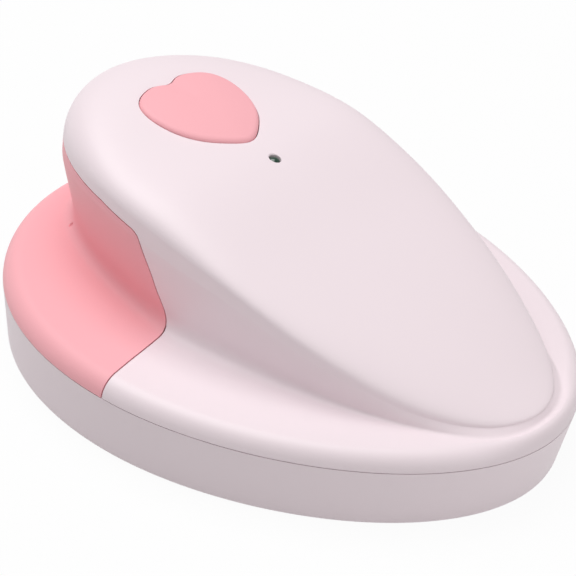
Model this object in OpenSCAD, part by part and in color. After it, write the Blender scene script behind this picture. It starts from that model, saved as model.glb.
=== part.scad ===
// Hand-held fetal doppler monitor: an egg-shaped base on a flat sole, and a pod that rises from it.
// The pod overhangs the rear shelf, so that fingers close under it while the thumb rests on the heart button.
// Origin: middle of the sole's box, on the surface that the monitor stands on.
// +Y points to the blunt rear end, -Y to the narrow nose, +Z up.

/* [Body] */
// Length of the base from nose to rear
base_l = 120; // [118:1:122]
// Width of the base at its middle
base_w = 104; // [102:1:106]
// Height of the line where the upper and lower shells meet
parting_z = 13; // [12.5:0.1:13.5]
// Wall thickness of the moulded shells
wall = 2.2; // [2:0.1:2.4]
// How much narrower the sole is than the parting line, on each side
draft = 1.5; // [1:0.1:1.8]

/* [Pod] */
// Half the width of the pod at its widest place
pod_w = 33.7; // [33.2:0.1:34]
// Half the width of the pod's foot, where it meets the shelf
foot_w = 30.9; // [30.5:0.1:31.2]
// Height of the shelf round the pod's foot
shelf_z = 17; // [16.8:0.1:17.3]

/* [Heart button] */
// How far the heart stands above the pod
heart_proud = 1; // [0.8:0.1:1.3]
// Gap between the heart and the edge of its opening
heart_gap = 0.3; // [0.2:0.05:0.4]

/* [Gaps] */
// Gap between the pink grip panel and the white upper shell
seam_gap = 0.16; // [0.1:0.02:0.24]
// Gap between the shells along the parting line
parting_gap = 0.16; // [0.1:0.02:0.24]

/* [Hidden] */

white = [0.93, 0.90, 0.91];
pink = [0.98, 0.67, 0.70];
steel = [0.72, 0.73, 0.75];
black = [0.09, 0.09, 0.10];

half_l = base_l / 2;
half_w = base_w / 2;
ring_n = 54;
angles = [for (i = [0:ring_n - 1]) i * 360 / ring_n];

// ---- curves that the housing is made of ----

// A power of sine or cosine that keeps its sign: it makes an ellipse squarer or rounder.
function bulge(v, n) = sign(v) * pow(abs(v), 2 / n);

// Smooth curve through knots [place, height], each with the slope of its neighbours.
function knot_slope(k, i) = let (a = k[max(0, i - 1)], b = k[min(len(k) - 1, i + 1)])
    (b[1] - a[1]) / (b[0] - a[0]);
function knot_index(k, t, i = 0) = (i >= len(k) - 2 || t <= k[i + 1][0]) ? i : knot_index(k, t, i + 1);
function through(k, t) = let (
    i = knot_index(k, t), p = k[i], q = k[i + 1], h = q[0] - p[0],
    u = max(0, min(1, (t - p[0]) / h)), m = knot_slope(k, i) * h, n = knot_slope(k, i + 1) * h)
    (2 * pow(u, 3) - 3 * pow(u, 2) + 1) * p[1] + (pow(u, 3) - 2 * pow(u, 2) + u) * m
    + (3 * pow(u, 2) - 2 * pow(u, 3)) * q[1] + (pow(u, 3) - pow(u, 2)) * n;

// Height of the pod's widest line, and of its ridge, from the nose to the rear.
edge_knots = [[-57, 17.2], [-51, 17.7], [-40, 20], [-23, 26.2], [-2, 33.9], [26, 39.2], [54, 37.2]];
ridge_knots = [[-57, 18.2], [-40, 24.4], [-9.6, 35], [10, 41.9], [26, 44.6], [40, 47.5], [54, 49.2]];

// Outline of the base at angle a from the rear, drawn in by d on every side: an egg.
egg_n = 1.96;
egg_taper = 0.11;
function egg(a, d) = let (y = (half_l - d) * bulge(cos(a), egg_n))
    [(half_w - d) * bulge(sin(a), egg_n) * (1 + egg_taper * y / half_l), y];

// Outline of the pod's foot.
foot_y = 2;
foot_rear = 50;
foot_front = 58.2;
function foot(a, d) = let (
    rear = cos(a) > 0, n = rear ? 2.6 : 3.2,
    t = ((rear ? foot_rear : foot_front) - d) * bulge(cos(a), n),
    taper = 1 + 0.002 * t - (rear ? 0.0082 * t * t / (t + 6) : 0))
    [(foot_w - d) * bulge(sin(a), n) * taper, foot_y + t];

// Outline of the pod's widest line.
pod_y = 12;
pod_rear = 43.1;
pod_front = 65.5;
function pod(a, d) = [(pod_w - d) * sin(a), pod_y + ((cos(a) > 0 ? pod_rear : pod_front) - d) * cos(a)];

function mix(p, q, t) = p + (q - p) * t;
// From p towards q by a length, but no further than that share of the way.
function toward(p, q, length, share) = mix(p, q, min(share, length / norm(q - p)));
function bend(p, q, r, t) = mix(mix(p, q, t), mix(q, r, t), t);
function at(xy, z) = [xy[0], xy[1], z];

shoulder_r = 3.4;
function shelf_height(y) = shelf_z + 0.008 * y;
// The crease round the nose lies a little lower than the rest of the shelf.
function nose_drop(y) = 0.9 * pow(max(0, min(1, (-y - 34) / 22)), 2);

// One section of the outer surface at angle a, from the parting line to the pod's top.
// It goes over the shoulder and across the shelf, through a hollow fillet, up the wall to its neck,
// out to the pod's widest line, and over the crown. d draws it all inwards, for the inner face.
// The steps of each rounding are finer on the outer face (first) than on the inner one.
shoulder_steps = [[22, 45, 68, 90], [45, 90]];
fillet_steps = [[0, 0.25, 0.5, 0.75, 1], [0, 0.5, 1]];
neck_steps = [[0, 0.5, 1], [0, 1]];
rim_steps = [[0.5, 1], [1]];
crown_steps = [[84, 76, 66, 54, 40, 24, 8], [72, 54, 36, 12]];
neck_height = 0.8;
neck_slope = 0.16;
neck_out = 0.95;
rim_height = 0.12;
function section(a, d, bottom) = let (
    face = d > 1 ? 1 : 0,
    e = egg(a, d),
    foot_xy = foot(a, d),
    pod_xy = pod(a, d),
    r = min(shoulder_r, 0.62 * norm(e - foot_xy)),
    shelf_in = at(egg(a, d + r), shelf_height(e[1]) - d - 0.3),
    corner = at(foot_xy, shelf_height(foot_xy[1]) - d - nose_drop(foot_xy[1])),
    widest_z = through(edge_knots, pod_xy[1]) - 0.6 * d,
    widest = at(pod_xy, widest_z),
    under = at(pod_xy, widest_z - rim_height * max(0.5, widest_z - corner[2])),
    neck_z = mix(corner[2], widest_z, neck_height),
    neck_foot = foot(a, d - neck_slope * (neck_z - corner[2])),
    neck = at(mix(neck_foot, pod_xy, neck_out), neck_z),
    out = toward(corner, shelf_in, 4, 0.5),
    rise = toward(corner, neck, 4.5, 0.4),
    neck_low = mix(neck, corner, 0.25),
    neck_up = mix(neck, under, 0.5))
    concat(
        [at(e, bottom)],
        [for (s = shoulder_steps[face])
            at(egg(a, d + r * (1 - cos(s))), parting_z + max(0.2, shelf_in[2] - parting_z) * sin(s))],
        [for (t = fillet_steps[face]) bend(out, corner, rise, t)],
        [for (t = neck_steps[face]) bend(neck_low, neck, neck_up, t)],
        [for (t = rim_steps[face]) bend(neck_up, under, widest, t)],
        [for (c = crown_steps[face])
            let (s = sin(c), xy = [s * pod_xy[0], pod_y + s * (pod_xy[1] - pod_y)])
                at(xy, crown(widest_z, xy[1], s, d))]);

// Height of the crown at y, where s runs from 0 at the middle to 1 at the widest line.
function crown(widest_z, y, s, d) = widest_z + (through(ridge_knots, y) - d - widest_z)
    * sqrt(max(0, 1 - 0.2 * s * s - 0.8 * pow(s, 9)));

// Height of the pod's top along its ridge.
function ridge_at(y) = let (rear = y > pod_y, s = abs(y - pod_y) / (rear ? pod_rear : pod_front),
    end = pod_y + (rear ? pod_rear : -pod_front))
    crown(through(edge_knots, end), y, s, 0);

// Closed solid through a ring of sections, each a list of points from the bottom up,
// with a middle point below and one above.
module loft(sections, low, high) {
    n = len(sections);
    m = len(sections[0]);
    faces = concat(
        [for (i = [0:n - 1], j = [0:m - 2]) let (k = (i + 1) % n) [i * m + j, k * m + j, k * m + j + 1]],
        [for (i = [0:n - 1], j = [0:m - 2]) let (k = (i + 1) % n) [i * m + j, k * m + j + 1, i * m + j + 1]],
        [for (i = [0:n - 1]) let (k = (i + 1) % n) [k * m, i * m, n * m]],
        [for (i = [0:n - 1]) let (k = (i + 1) % n) [i * m + m - 1, k * m + m - 1, n * m + 1]]);
    polyhedron(concat([for (s = sections) each s], [low, high]), faces, convexity = 6);
}

// Closed solid below the outer surface (d = 0) or below the wall's inner face (d = wall).
module housing_form(d, bottom) {
    loft([for (a = angles) section(a, d, bottom)], [0, 0, bottom], [0, pod_y, crown(0, pod_y, 0, d)]);
}

// Base outline as a flat shape, drawn in by d.
module egg_shape(d) {
    polygon([for (a = angles) egg(a, d)]);
}

// Side view of the pink panel: up the shelf, slanting up the pod's side, then level under its rim.
panel_front = 5.4;
panel_top = 37.6;
panel_side = [[panel_front, 8], [panel_front, 15.9], [6.2, 16.9], [7.6, 17.3], [8.4, 18.7], [9.4, 21.3], [10.9, 24.5],
    [12.3, 28.2], [13.9, 31.8], [15, 34.2], [16.4, 35.6], [18.5, 36.1], [26.3, 37.3], [35, panel_top],
    [70, panel_top], [70, 8]];
module panel_space(gap) {
    rotate([90, 0, 90])
        linear_extrude(140, center = true)
            offset(delta = -gap) polygon(panel_side);
}

// Ring that the lower shell's lip fills, in the upper shell's rim.
lip_in = 1.1;
lip_h = 1.2;
module lip_ring(outer, inner, z0, z1) {
    translate([0, 0, z0])
        linear_extrude(z1 - z0)
            difference() {
                egg_shape(outer);
                egg_shape(inner);
            }
}

// ---- the heart's own frame: on the pod's top, tilted with its slope ----

heart_y = 26.9;
heart_slope = atan((ridge_at(heart_y + 10) - ridge_at(heart_y - 10)) / 20);
heart_z = ridge_at(heart_y);
module on_heart() {
    translate([0, heart_y, heart_z])
        rotate([heart_slope, 0, 0])
            children();
}

// Outline of the heart: a few sine waves give its lobes, and two narrow peaks its notch and its tip.
heart_wide = 13.1;
heart_points = 60;
function heart(a, d) = let (
    x = heart_wide * sin(a) + 0.3 * sin(3 * a),
    y = 2.8 + 10.9 * cos(a) - 1.4 * cos(2 * a) - 1.5 * pow(max(0, cos(a)), 60) - 1.3 * pow(max(0, -cos(a)), 20),
    r = sqrt(x * x + (y - 1) * (y - 1)))
    [x * (1 - d / r), 1 + (y - 1) * (1 - d / r)];
module heart_shape(d) {
    polygon([for (i = [0:heart_points - 1]) heart(i * 360 / heart_points, d)]);
}

// Depths below the heart's centre, along its own normal.
flange_z = -4;
board_z = -9;
board_t = 1.2;
plunger_top = board_z + 4.4;
led_y = -17;
led_r = 1.5;
// height of the pod's top over the light, in the heart's frame
led_skin = (ridge_at(heart_y + led_y * cos(heart_slope)) - heart_z - led_y * sin(heart_slope))
    * cos(heart_slope);
led_top = led_skin + 0.05;
led_seat = led_skin - 0.5;
posts = [[-17.6, 5], [17.6, 5], [-15, -29], [15, -29]];

// ---- fasteners ----

screws_xy = [[-29, -31], [29, -31], [-27, 39], [27, 39]];
screw_r = 1.3;
boss_r = 3.4;
boss_split = 6.4;
sink = 1.6;

// ---- battery and transducer bays ----

bat = [26.5, 48.5, 17.5];
bat_y = 11.8;
bat_z = 3.2;
door_w = 31;
door_front = -15;
door_rear = 38;
door_gap = 0.25;
door_t = 1.9;
door_low = 0.1;
// the door's rear end is rounded about its hinge pins
hinge_y = door_rear - door_gap - door_t / 2;
hinge_z = door_low + door_t / 2;
pin_r = 0.6;
pin_out = 1.3;
notch_r = 5;
notch_z = -3.4;
sole = 2.2;
probe_y = -36;
probe_r = 16.5;

// Plate with rounded corners, centred in X and Y.
module round_plate(x, y, h, r) {
    linear_extrude(h) {
        square([x - 2 * r, y], center = true);
        square([x, y - 2 * r], center = true);
        for (sx = [-1, 1], sy = [-1, 1])
            translate([sx * (x / 2 - r), sy * (y / 2 - r)])
                circle(r, $fn = 32);
    }
}

// Thin triangular web that stiffens a post: from the post's side out along angle a.
module gusset(a, r, h, out) {
    rotate([0, 0, a])
        hull() {
            translate([r - 0.4, -0.5, 0])
                cube([0.4, 1, h]);
            translate([r - 0.4, -0.5, 0])
                cube([out, 1, 0.4]);
        }
}

// Solid of the lower shell's outline: a rounded edge round the sole, then a drafted side.
module lower_form(d, bottom, top, steps) {
    r = 1.4;
    loft([for (a = angles) concat(
        [for (s = steps) at(egg(a, d + draft + r * (1 - sin(s))), bottom + r * (1 - cos(s)))],
        [at(egg(a, d), top)])], [0, 0, bottom], [0, 0, top]);
}

module lower_shell() {
    color(white)
    difference() {
        union() {
            difference() {
                lower_form(0, 0, parting_z - parting_gap, [0, 30, 60, 90]);
                lower_form(wall, sole, parting_z + 1, [0, 90]);
            }
            lip_ring(lip_in, wall + 0.05, parting_z - 1.5, parting_z + lip_h);
            // bosses that the housing screws pass through, each with two webs
            for (p = screws_xy)
                translate([p[0], p[1], sole - 0.3]) {
                    cylinder(r = boss_r, h = boss_split - sole + 0.3, $fn = 32);
                    gusset(p[0] > 0 ? 0 : 180, boss_r, 3.5, 4);
                    gusset(p[1] > 0 ? 90 : -90, boss_r, 3.5, 4);
                }
            // fence round the battery
            for (sx = [-1, 1])
                translate([sx * 15.4 - 0.6, -13.5, sole - 0.3])
                    cube([1.2, 51, 9]);
            // collar round the transducer
            translate([0, probe_y, sole - 0.3])
                difference() {
                    cylinder(r = probe_r + 3.4, h = 3.4, $fn = 64);
                    translate([0, 0, -1])
                        cylinder(r = probe_r + 2.2, h = 6, $fn = 64);
                }
        }
        // transducer window opening, with its step
        translate([0, probe_y, -1])
            cylinder(r = probe_r + 0.25, h = 4, $fn = 64);
        // battery door opening, square at its hinged end, and the two holes for the hinge pins
        translate([0, (door_front + door_rear) / 2, -1])
            round_plate(door_w, door_rear - door_front, 4, 1.5);
        translate([-door_w / 2, door_rear - 4, -1])
            cube([door_w, 4, 4]);
        translate([-door_w / 2 - pin_out - 0.1, hinge_y, hinge_z])
            rotate([0, 90, 0])
                cylinder(r = pin_r + 0.06, h = door_w + 2 * pin_out + 0.2, $fn = 32);
        // finger notch for the door's latch
        translate([0, door_front + 0.5, notch_z])
            sphere(r = notch_r, $fn = 24);
        for (p = screws_xy)
            translate([p[0], p[1], -1]) {
                cylinder(r = screw_r + 0.2, h = 10, $fn = 24);
                cylinder(r = 2.7, h = sink + 1, $fn = 32);
            }
    }
}

module upper_shell() {
    color(white)
    difference() {
        union() {
            difference() {
                housing_form(0, parting_z);
                housing_form(wall, parting_z - 0.5);
            }
            // bosses for the two front housing screws, each with two webs
            intersection() {
                housing_form(0.6, boss_split + 0.1);
                for (p = [for (q = screws_xy) if (q[1] < 0) q])
                    translate([p[0], p[1], boss_split + 0.1]) {
                        cylinder(r = boss_r, h = 12, $fn = 32);
                        for (a = [0, 90, 180, 270])
                            rotate([0, 0, a])
                                hull() {
                                    translate([boss_r - 0.5, -0.5, 3.5])
                                        cube([0.5, 1, 8]);
                                    translate([boss_r - 0.5, -0.5, 9])
                                        cube([3, 1, 2.5]);
                                }
                    }
            }
            // posts that carry the circuit board
            intersection() {
                housing_form(0.6, parting_z);
                on_heart()
                    for (p = posts)
                        translate([p[0], p[1], board_z])
                            cylinder(r = 2.2, h = 12, $fn = 24);
            }
        }
        panel_space(-seam_gap / 2);
        on_heart() {
            translate([0, 0, -8])
                linear_extrude(16)
                    heart_shape(-heart_gap);
            // hole for the light, with a wider seat behind it
            translate([0, led_y, -8])
                cylinder(r = led_r - 0.25, h = 16, $fn = 32);
            translate([0, led_y, -8])
                cylinder(r = led_r + 0.15, h = 8 + led_seat, $fn = 32);
            for (p = posts)
                translate([p[0], p[1], board_z - 1])
                    cylinder(r = 0.8, h = 5, $fn = 16);
        }
        lip_ring(lip_in - 0.1, wall + 3, parting_z - 2, parting_z + lip_h + 0.1);
        for (p = screws_xy)
            translate([p[0], p[1], 0])
                cylinder(r = screw_r - 0.05, h = 13.5, $fn = 24);
    }
}

// The two headphone jacks look out of the rear wall, under the pod's overhang.
jack_x = 7;
jack_z = 27.5;
jack_face = 50.2;
jack_nose_r = 3;
plug_r = 1.8;

module rear_grip_panel() {
    color(pink)
    difference() {
        union() {
            intersection() {
                difference() {
                    housing_form(0, parting_z);
                    housing_form(wall, parting_z - 0.5);
                }
                panel_space(seam_gap / 2);
            }
            // flat-faced bosses behind the jacks
            for (sx = [-1, 1])
                translate([sx * jack_x, jack_face, jack_z])
                    rotate([90, 0, 0])
                        cylinder(r = 5.6, h = 3, $fn = 48);
            // bosses for the two rear housing screws, each with four webs
            intersection() {
                housing_form(0.6, boss_split + 0.1);
                for (p = [for (q = screws_xy) if (q[1] > 0) q])
                    translate([p[0], p[1], boss_split + 0.1]) {
                        cylinder(r = boss_r, h = 12, $fn = 32);
                        for (a = [0, 90, 180, 270])
                            rotate([0, 0, a])
                                hull() {
                                    translate([boss_r - 0.5, -0.5, 3.5])
                                        cube([0.5, 1, 8]);
                                    translate([boss_r - 0.5, -0.5, 9])
                                        cube([3, 1, 2.5]);
                                }
                    }
            }
        }
        for (sx = [-1, 1])
            translate([sx * jack_x, jack_face, jack_z])
                rotate([-90, 0, 0]) {
                    cylinder(r = 4.7, h = 14, $fn = 48);
                    translate([0, 0, -8])
                        cylinder(r = jack_nose_r + 0.1, h = 9, $fn = 48);
                }
        lip_ring(lip_in - 0.1, wall + 3, parting_z - 2, parting_z + lip_h + 0.1);
        for (p = screws_xy)
            translate([p[0], p[1], 0])
                cylinder(r = screw_r - 0.05, h = 13.5, $fn = 24);
    }
}

// Heart: a skirt with a crowned top and rounded rim, over a flange that keeps it in the shell.
module heart_button() {
    // each layer is [drawn in by, height]
    layers = [[-1.5, flange_z], [-1.5, flange_z + 0.7], [0, flange_z + 0.7], [0, heart_proud - 1],
        [0.12, heart_proud - 0.55], [0.5, heart_proud - 0.2], [1.1, heart_proud],
        [4, heart_proud + 0.35], [8, heart_proud + 0.6]];
    color(pink)
    on_heart() {
        loft([for (i = [0:heart_points - 1]) let (a = i * 360 / heart_points)
            [for (l = layers) let (q = heart(a, l[0])) at(q, l[1] - drop(q, l[1]))]],
            [0, 1, flange_z], [0, 1, heart_proud + 0.65]);
        // stem that rests on the switch's plunger
        translate([0, 0, plunger_top + 0.02])
            cylinder(r = 2.4, h = flange_z - plunger_top + 0.1, $fn = 32);
    }
}
// The pod's top falls away on every side, so the heart's rim does too.
function drop(q, z) = z < 0 ? 0 : 0.001 * q[0] * q[0] + 0.0012 * q[1] * q[1];

// ---- electronics ----

module status_led() {
    color([0.12, 0.30, 0.18])
    on_heart()
        translate([0, led_y, 0]) {
            translate([0, 0, -6])
                cylinder(r = led_r, h = led_top - led_r + 6, $fn = 32);
            translate([0, 0, led_top - led_r])
                sphere(r = led_r, $fn = 32);
            translate([0, 0, -6.6])
                cylinder(r = 1.9, h = 0.9, $fn = 32);
            for (sx = [-1, 1])
                translate([sx * 1.1 - 0.25, -0.25, board_z])
                    cube([0.5, 0.5, 2.6]);
        }
}

module main_board() {
    color([0.10, 0.38, 0.22])
    on_heart()
        difference() {
            translate([0, -10.5, board_z - board_t])
                round_plate(41, 44, board_t, 6);
            for (p = posts)
                translate([p[0], p[1], board_z - 2])
                    cylinder(r = 1.1, h = 4, $fn = 24);
        }
}

module board_chips() {
    // each chip is [x, y, width, length, height], on the board's underside
    chips = [[0, -14, 10, 10, 1.6], [12, -12, 6.5, 5, 1.5], [-12, -14, 6.5, 5, 1.5], [3, 4, 5, 4, 1.2]];
    color(black)
    on_heart()
        for (c = chips)
            translate([c[0] - c[2] / 2, c[1] - c[3] / 2, board_z - board_t - c[4]])
                cube([c[2], c[3], c[4]]);
}

module board_capacitors() {
    color([0.15, 0.20, 0.42])
    on_heart()
        for (p = [[-16.5, -7], [-10, -6], [16.5, -6]])
            translate([p[0], p[1], board_z - board_t - 5])
                cylinder(r = 2.5, h = 5, $fn = 32);
}

module clock_crystal() {
    color(steel)
    on_heart()
        translate([8, -22, board_z - board_t - 3.4])
            round_plate(11, 4.6, 3.4, 2.2);
}

module board_screws() {
    color(steel)
    on_heart()
        for (p = posts)
            translate([p[0], p[1], board_z - board_t]) {
                translate([0, 0, -1.2])
                    cylinder(r = 1.9, h = 1.2, $fn = 24);
                cylinder(r = 0.78, h = 4.4, $fn = 24);
            }
}

module switch_body() {
    color(black)
    on_heart()
        difference() {
            translate([0, 0, board_z])
                round_plate(6, 6, 3.5, 0.4);
            translate([0, 0, board_z + 1.1])
                cylinder(r = 1.8, h = 5, $fn = 32);
        }
}

module switch_plunger() {
    color([0.85, 0.84, 0.80])
    on_heart()
        translate([0, 0, board_z + 1.8])
            cylinder(r = 1.74, h = 2.6, $fn = 32);
}

// Headphone jack: moulded body, and a metal nose with the bore that the plug goes into.
jack_bore = 14;
module headphone_jack(x) {
    color(black)
    difference() {
        union() {
            translate([x, jack_face, jack_z])
                rotate([90, 0, 0])
                    cylinder(r = jack_nose_r, h = 5, $fn = 48);
            translate([x - 5, jack_face - 18, jack_z - 4.6])
                cube([10, 14, 9.2]);
        }
        translate([x, jack_face + 1, jack_z])
            rotate([90, 0, 0])
                cylinder(r = plug_r, h = jack_bore + 1, $fn = 48);
    }
}
module headphone_jack_left() {
    headphone_jack(-jack_x);
}
module headphone_jack_right() {
    headphone_jack(jack_x);
}

// ---- transducer: two half-disc crystals behind a window in the sole ----

module transducer_window() {
    color([0.86, 0.86, 0.87])
    translate([0, probe_y, 0]) {
        cylinder(r = probe_r, h = sole, $fn = 64);
        translate([0, 0, sole])
            cylinder(r = probe_r + 2, h = 1.2, $fn = 64);
    }
}

module window_seal() {
    color(black)
    translate([0, probe_y, sole + 1.9])
        rotate_extrude($fn = 64)
            translate([probe_r + 1.3, 0])
                circle(r = 0.7, $fn = 16);
}

// One of the two half-discs, on the side that s gives.
module half_disc(s) {
    translate([0, probe_y, sole + 1.2])
        intersection() {
            cylinder(r = 12, h = 1, $fn = 64);
            translate([-15, s > 0 ? 0.6 : -15.6, -1])
                cube([30, 15, 3]);
        }
}
module transmit_crystal() {
    color([0.88, 0.80, 0.62])
    half_disc(1);
}
module receive_crystal() {
    color([0.88, 0.80, 0.62])
    half_disc(-1);
}

module transducer_backing() {
    color([0.30, 0.31, 0.33])
    translate([0, probe_y, sole + 2.2])
        cylinder(r = 12.5, h = 3.2, $fn = 64);
}

module transducer_cup() {
    color([0.78, 0.78, 0.76])
    translate([0, probe_y, sole + 1.2])
        difference() {
            cylinder(r = 15, h = 7, $fn = 64);
            translate([0, 0, -1])
                cylinder(r = 13.4, h = 6.5, $fn = 64);
        }
}

// Tube swept along a list of points, closed at both ends.
module tube(path, r, sides = 8) {
    n = len(path);
    dirs = [for (i = [0:n - 1]) let (v = path[min(n - 1, i + 1)] - path[max(0, i - 1)]) v / norm(v)];
    rings = [for (i = [0:n - 1]) let (
        s = cross(dirs[i], [1, 0, 0]), u = s / norm(s), w = cross(dirs[i], u))
        for (k = [0:sides - 1]) let (a = k * 360 / sides) path[i] + r * (cos(a) * u + sin(a) * w)];
    polyhedron(rings, concat(
        [for (i = [0:n - 2], k = [0:sides - 1]) let (l = (k + 1) % sides)
            [i * sides + k, (i + 1) * sides + l, i * sides + l]],
        [for (i = [0:n - 2], k = [0:sides - 1]) let (l = (k + 1) % sides)
            [i * sides + k, (i + 1) * sides + k, (i + 1) * sides + l]],
        [[for (k = [0:sides - 1]) k]],
        [[for (k = [sides - 1:-1:0]) (n - 1) * sides + k]]), convexity = 4);
}
// Points of a smooth curve from p to s, leaving along q - p and arriving along s - r.
function route(p, q, r, s, n) = [for (i = [0:n]) let (t = i / n)
    pow(1 - t, 3) * p + 3 * pow(1 - t, 2) * t * q + 3 * (1 - t) * t * t * r + pow(t, 3) * s];

module transducer_cable() {
    color([0.85, 0.85, 0.83])
    tube(route([0, probe_y, sole + 8.2], [0, probe_y, 20], [0, -20, 24], [0, -9, 29.3], 14), 1.1);
}

// ---- battery bay ----

module battery_9v() {
    color([0.16, 0.17, 0.19])
    translate([0, bat_y, bat_z])
        round_plate(bat[0], bat[1], bat[2], 1.8);
}

module battery_terminals() {
    color(steel)
    for (x = [-6.35, 6.35])
        translate([x, bat_y - bat[1] / 2, bat_z + bat[2] / 2])
            rotate([90, 0, 0])
                cylinder(r = x < 0 ? 2.9 : 3.8, h = 2.6, $fn = x < 0 ? 32 : 6);
}

snap_y = bat_y - bat[1] / 2 - 2.7;
module battery_snap() {
    color(black)
    translate([0, snap_y, bat_z + bat[2] / 2])
        rotate([90, 0, 0])
            round_plate(25, 12, 3, 4);
}

module battery_leads() {
    color([0.70, 0.10, 0.10])
    for (x = [-5, 5])
        tube(route([x, snap_y - 1.5, bat_z + bat[2] / 2 + 6], [x, snap_y - 1.5, 24],
            [x, -12, 24], [x, -5, 29.2], 10), 0.7);
}

module battery_door() {
    color(white) {
        difference() {
            union() {
                translate([0, (door_front + hinge_y - 3) / 2 + door_gap / 2, door_low])
                    round_plate(door_w - 2 * door_gap, hinge_y - 3 - door_front - door_gap, door_t, 1.3);
                translate([door_gap - door_w / 2, hinge_y - 6, door_low])
                    cube([door_w - 2 * door_gap, 6, door_t]);
                translate([door_gap - door_w / 2, hinge_y, hinge_z])
                    rotate([0, 90, 0])
                        cylinder(r = door_t / 2, h = door_w - 2 * door_gap, $fn = 48);
                translate([-door_w / 2 - pin_out, hinge_y, hinge_z])
                    rotate([0, 90, 0])
                        cylinder(r = pin_r, h = door_w + 2 * pin_out, $fn = 32);
            }
            translate([0, door_front + 0.5, notch_z])
                sphere(r = notch_r, $fn = 48);
            for (i = [0:3])
                translate([-5, door_front + 6 + i * 2, -0.5])
                    cube([10, 0.8, 1]);
        }
        // latch that springs behind the opening's front edge
        translate([-4, door_front + 0.8, door_low + door_t - 0.1])
            cube([8, 1.2, 3.3]);
    }
}

module door_foam() {
    color([0.25, 0.25, 0.27])
    translate([0, bat_y, 2])
        round_plate(20, 38, 1.1, 1);
}

module housing_screws() {
    color(steel)
    for (p = screws_xy)
        translate([p[0], p[1], sink]) {
            translate([0, 0, -1.4])
                cylinder(r = 2.4, h = 1.4, $fn = 32);
            cylinder(r = screw_r - 0.06, h = 10, $fn = 24);
        }
}

lower_shell();
upper_shell();
rear_grip_panel();
heart_button();
status_led();
main_board();
board_chips();
board_capacitors();
clock_crystal();
board_screws();
switch_body();
switch_plunger();
headphone_jack_left();
headphone_jack_right();
transducer_window();
window_seal();
transmit_crystal();
receive_crystal();
transducer_backing();
transducer_cup();
transducer_cable();
battery_9v();
battery_terminals();
battery_snap();
battery_leads();
battery_door();
door_foam();
housing_screws();
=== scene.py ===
# %% [markdown]
# # A hand-held fetal doppler monitor
# The monitor is an egg-shaped base with a pod on it, moulded in a satin, faintly pink white. A soft pink
# panel wraps the rear, where the fingers hold it, and a heart-shaped button sits on top. This lesson builds
# the finish round a finished construction model, whose sizes and joints are fixed. The housing follows that
# model's curves at a finer step. In three places it goes nearer to the photograph, by about 2.5 mm at most:
# the pod's nose reaches further with a tighter crease, the seam has its own line across the shelf, and the
# heart is a little narrower.

# %% Load the frame
import math

import bmesh
import bpy
import numpy as np
from mathutils import Matrix, Vector


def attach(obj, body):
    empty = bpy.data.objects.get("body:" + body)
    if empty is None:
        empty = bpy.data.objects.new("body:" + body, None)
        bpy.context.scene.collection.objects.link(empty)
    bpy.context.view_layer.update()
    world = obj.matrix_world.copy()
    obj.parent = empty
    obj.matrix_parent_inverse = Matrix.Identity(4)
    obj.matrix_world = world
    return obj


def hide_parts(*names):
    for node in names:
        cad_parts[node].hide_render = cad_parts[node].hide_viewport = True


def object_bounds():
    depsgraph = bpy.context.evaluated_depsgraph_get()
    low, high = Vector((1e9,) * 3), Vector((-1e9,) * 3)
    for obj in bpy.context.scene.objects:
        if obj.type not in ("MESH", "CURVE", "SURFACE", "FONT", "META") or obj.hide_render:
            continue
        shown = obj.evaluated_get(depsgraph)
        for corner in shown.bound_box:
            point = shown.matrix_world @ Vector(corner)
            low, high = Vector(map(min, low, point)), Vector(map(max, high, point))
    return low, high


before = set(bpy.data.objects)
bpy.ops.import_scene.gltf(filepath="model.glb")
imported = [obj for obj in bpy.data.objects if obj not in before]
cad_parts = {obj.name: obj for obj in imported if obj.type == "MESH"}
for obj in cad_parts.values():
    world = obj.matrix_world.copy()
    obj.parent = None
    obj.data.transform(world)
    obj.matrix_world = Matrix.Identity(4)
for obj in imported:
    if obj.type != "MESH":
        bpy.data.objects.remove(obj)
cad_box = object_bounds()
scene = bpy.context.scene
MM = 0.001
print("frame size in mm:", [round((hi - lo) / MM, 1) for lo, hi in zip(*cad_box)])

# %% [markdown]
# ## Camera
# The photograph was taken with a long lens from the near left, a little above, and then turned by a few
# degrees. The picture's turn belongs to the camera, so the object stays level and the camera rolls.
# The lens is given by its length in pixels on a 576-pixel frame, and Blender wants it in millimetres.
# A constraint could aim the camera, but a matrix made from three angles carries the roll as well.

# %% Camera
IMAGE_PX = 576
SENSOR_MM = 36.0
LENS_PX = 2031.6
CAMERA_TURN = -57.39
CAMERA_RISE = 31.81
CAMERA_ROLL = 8.7
CAMERA_DISTANCE_MM = 403.54
CAMERA_TARGET_MM = Vector((0.96, 3.36, 15.0))


def camera_axes(turn, rise, roll):
    """Right, up and backward directions of a camera at that azimuth, elevation and roll, in degrees."""
    turn, rise, roll = (math.radians(v) for v in (turn, rise, roll))
    back = Vector((math.sin(turn) * math.cos(rise), -math.cos(turn) * math.cos(rise), math.sin(rise)))
    level = Vector((math.cos(turn), math.sin(turn), 0.0))
    above = back.cross(level)
    right = math.cos(roll) * level + math.sin(roll) * above
    up = -math.sin(roll) * level + math.cos(roll) * above
    return right, up, back


right, up, back = camera_axes(CAMERA_TURN, CAMERA_RISE, CAMERA_ROLL)
camera_data = bpy.data.cameras.new("camera")
camera_data.sensor_width = SENSOR_MM
camera_data.lens = LENS_PX * SENSOR_MM / IMAGE_PX
camera_data.clip_start = 0.01
camera = bpy.data.objects.new("camera", camera_data)
scene.collection.objects.link(camera)
place = (CAMERA_TARGET_MM + CAMERA_DISTANCE_MM * back) * MM
camera.matrix_world = Matrix.Translation(place) @ Matrix((right, up, back)).transposed().to_4x4()
scene.camera = camera
print("camera at", [round(v, 3) for v in place], "lens", round(camera_data.lens, 1), "mm")

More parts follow.
